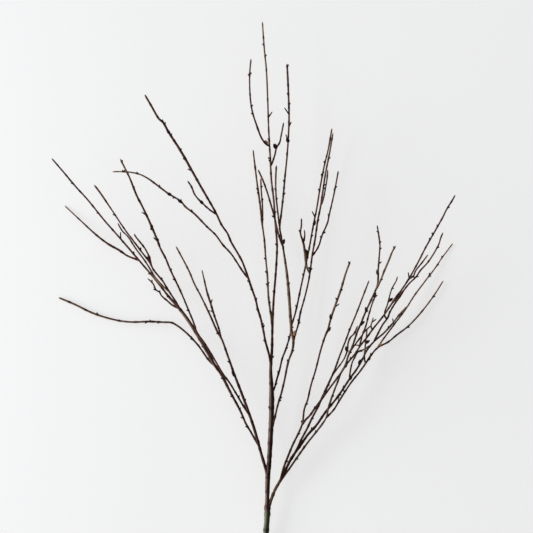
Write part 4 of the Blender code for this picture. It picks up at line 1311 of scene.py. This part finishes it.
# %% Ride and replace
pieces = [*barked, spurs, buds, axil_buds, cut_end]
for piece in pieces:
    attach(piece, "root")
    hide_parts("twig")
print("pieces", [piece.name for piece in pieces])

# %% [markdown]
# ## Floor, light and camera
# The photograph is a plain catalogue picture on near-white, lit softly from the left. The twig
# lies on a pale floor that glows a little, like a light table, which keeps its shadows faint. The
# camera looks straight down from far above with a long lens, so that tall shoots aren't drawn
# larger than low ones.

# %% A pale floor that glows a little
FLOOR_SIDE = 60
FLOOR_COLOUR = (0.80, 0.80, 0.80, 1)
FLOOR_GLOW = 0.55
FLOOR_DROP = 0.0002
FLOOR_VARIES = 1.01
FLOOR_NOISE_SCALE = 3.0
FLOOR_RELIEF = 0.0001


def make_floor():
    """A wide plain floor under the twig."""
    deselect_all()
    bpy.ops.mesh.primitive_plane_add(size=FLOOR_SIDE, location=(0, 0, cad_low.z - FLOOR_DROP))
    made = bpy.context.object
    made.name = "floor"
    made.data.transform(made.matrix_world)
    made.matrix_world = Matrix.Identity(4)
    board = Board("floor_paint")
    even = board.cloud(board.place(), FLOOR_NOISE_SCALE, 2.0)
    paler = (*(part * FLOOR_VARIES for part in FLOOR_COLOUR[:3]), 1)
    paint = board.blend(even, FLOOR_COLOUR, paler)
    board.shader.inputs["Emission Color"].default_value = (1, 1, 1, 1)
    board.shader.inputs["Emission Strength"].default_value = FLOOR_GLOW
    made.data.materials.append(board.finish(paint, 0.85, even, FLOOR_RELIEF))
    return made


make_floor()

# %% Soft light from the left; each lamp's name, power, place, width and length
WORLD_COLOUR = (1.0, 1.0, 1.0, 1)
WORLD_STRENGTH = 0.26
LAMP_COLOUR = (0.93, 0.97, 1.0)
LAMPS = (
    ("key", 125, (-5.0, 0.6, 1.7), 6.0, 3.0),
    ("edge_glow", 0.5, (-0.66, 0.0, 0.3), 1.4, 0.3),
)


def make_light():
    """A bright, even sky, one large soft lamp on the left, and a weak one near the left edge."""
    world = bpy.data.worlds.new("studio")
    world.use_nodes = True
    sky = world.node_tree.nodes["Background"]
    sky.inputs["Color"].default_value = WORLD_COLOUR
    sky.inputs["Strength"].default_value = WORLD_STRENGTH
    bpy.context.scene.world = world
    for name, power, place, width, length in LAMPS:
        lamp = bpy.data.lights.new(name, "AREA")
        lamp.energy = power
        lamp.color = LAMP_COLOUR
        lamp.shape = "RECTANGLE"
        lamp.size = width
        lamp.size_y = length
        made = bpy.data.objects.new(name, lamp)
        made.location = place
        made.rotation_euler = (-Vector(place)).to_track_quat("-Z", "Y").to_euler()
        made.visible_camera = False
        bpy.context.scene.collection.objects.link(made)


make_light()

# %% The camera, far above
PHOTO_SIDE = 533
PIXEL = 1.5
PICTURE_MIDDLE = Vector((-0.75, 399.75, 40))
LENS = 1000
SENSOR = 36


def make_camera():
    """Looks straight down, so that a pixel is 1.5 mm at the twig."""
    data = bpy.data.cameras.new("camera")
    data.lens = LENS
    data.sensor_width = SENSOR
    made = bpy.data.objects.new("camera", data)
    above = PHOTO_SIDE * PIXEL / SENSOR * LENS * MM
    made.location = in_frame(PICTURE_MIDDLE) + Vector((0, 0, above))
    bpy.context.scene.collection.objects.link(made)
    bpy.context.scene.camera = made
    print(f"the camera is {above:.1f} m above the twig")


make_camera()
bpy.context.scene.view_settings.view_transform = "Standard"

# %% [markdown]
# ## The measured box
# The dressed twig has to stay inside the measured solid's box.

# %% Print the measured box, and finish
print("measured", [round(v, 4) for v in (*cad_low, *cad_high)])
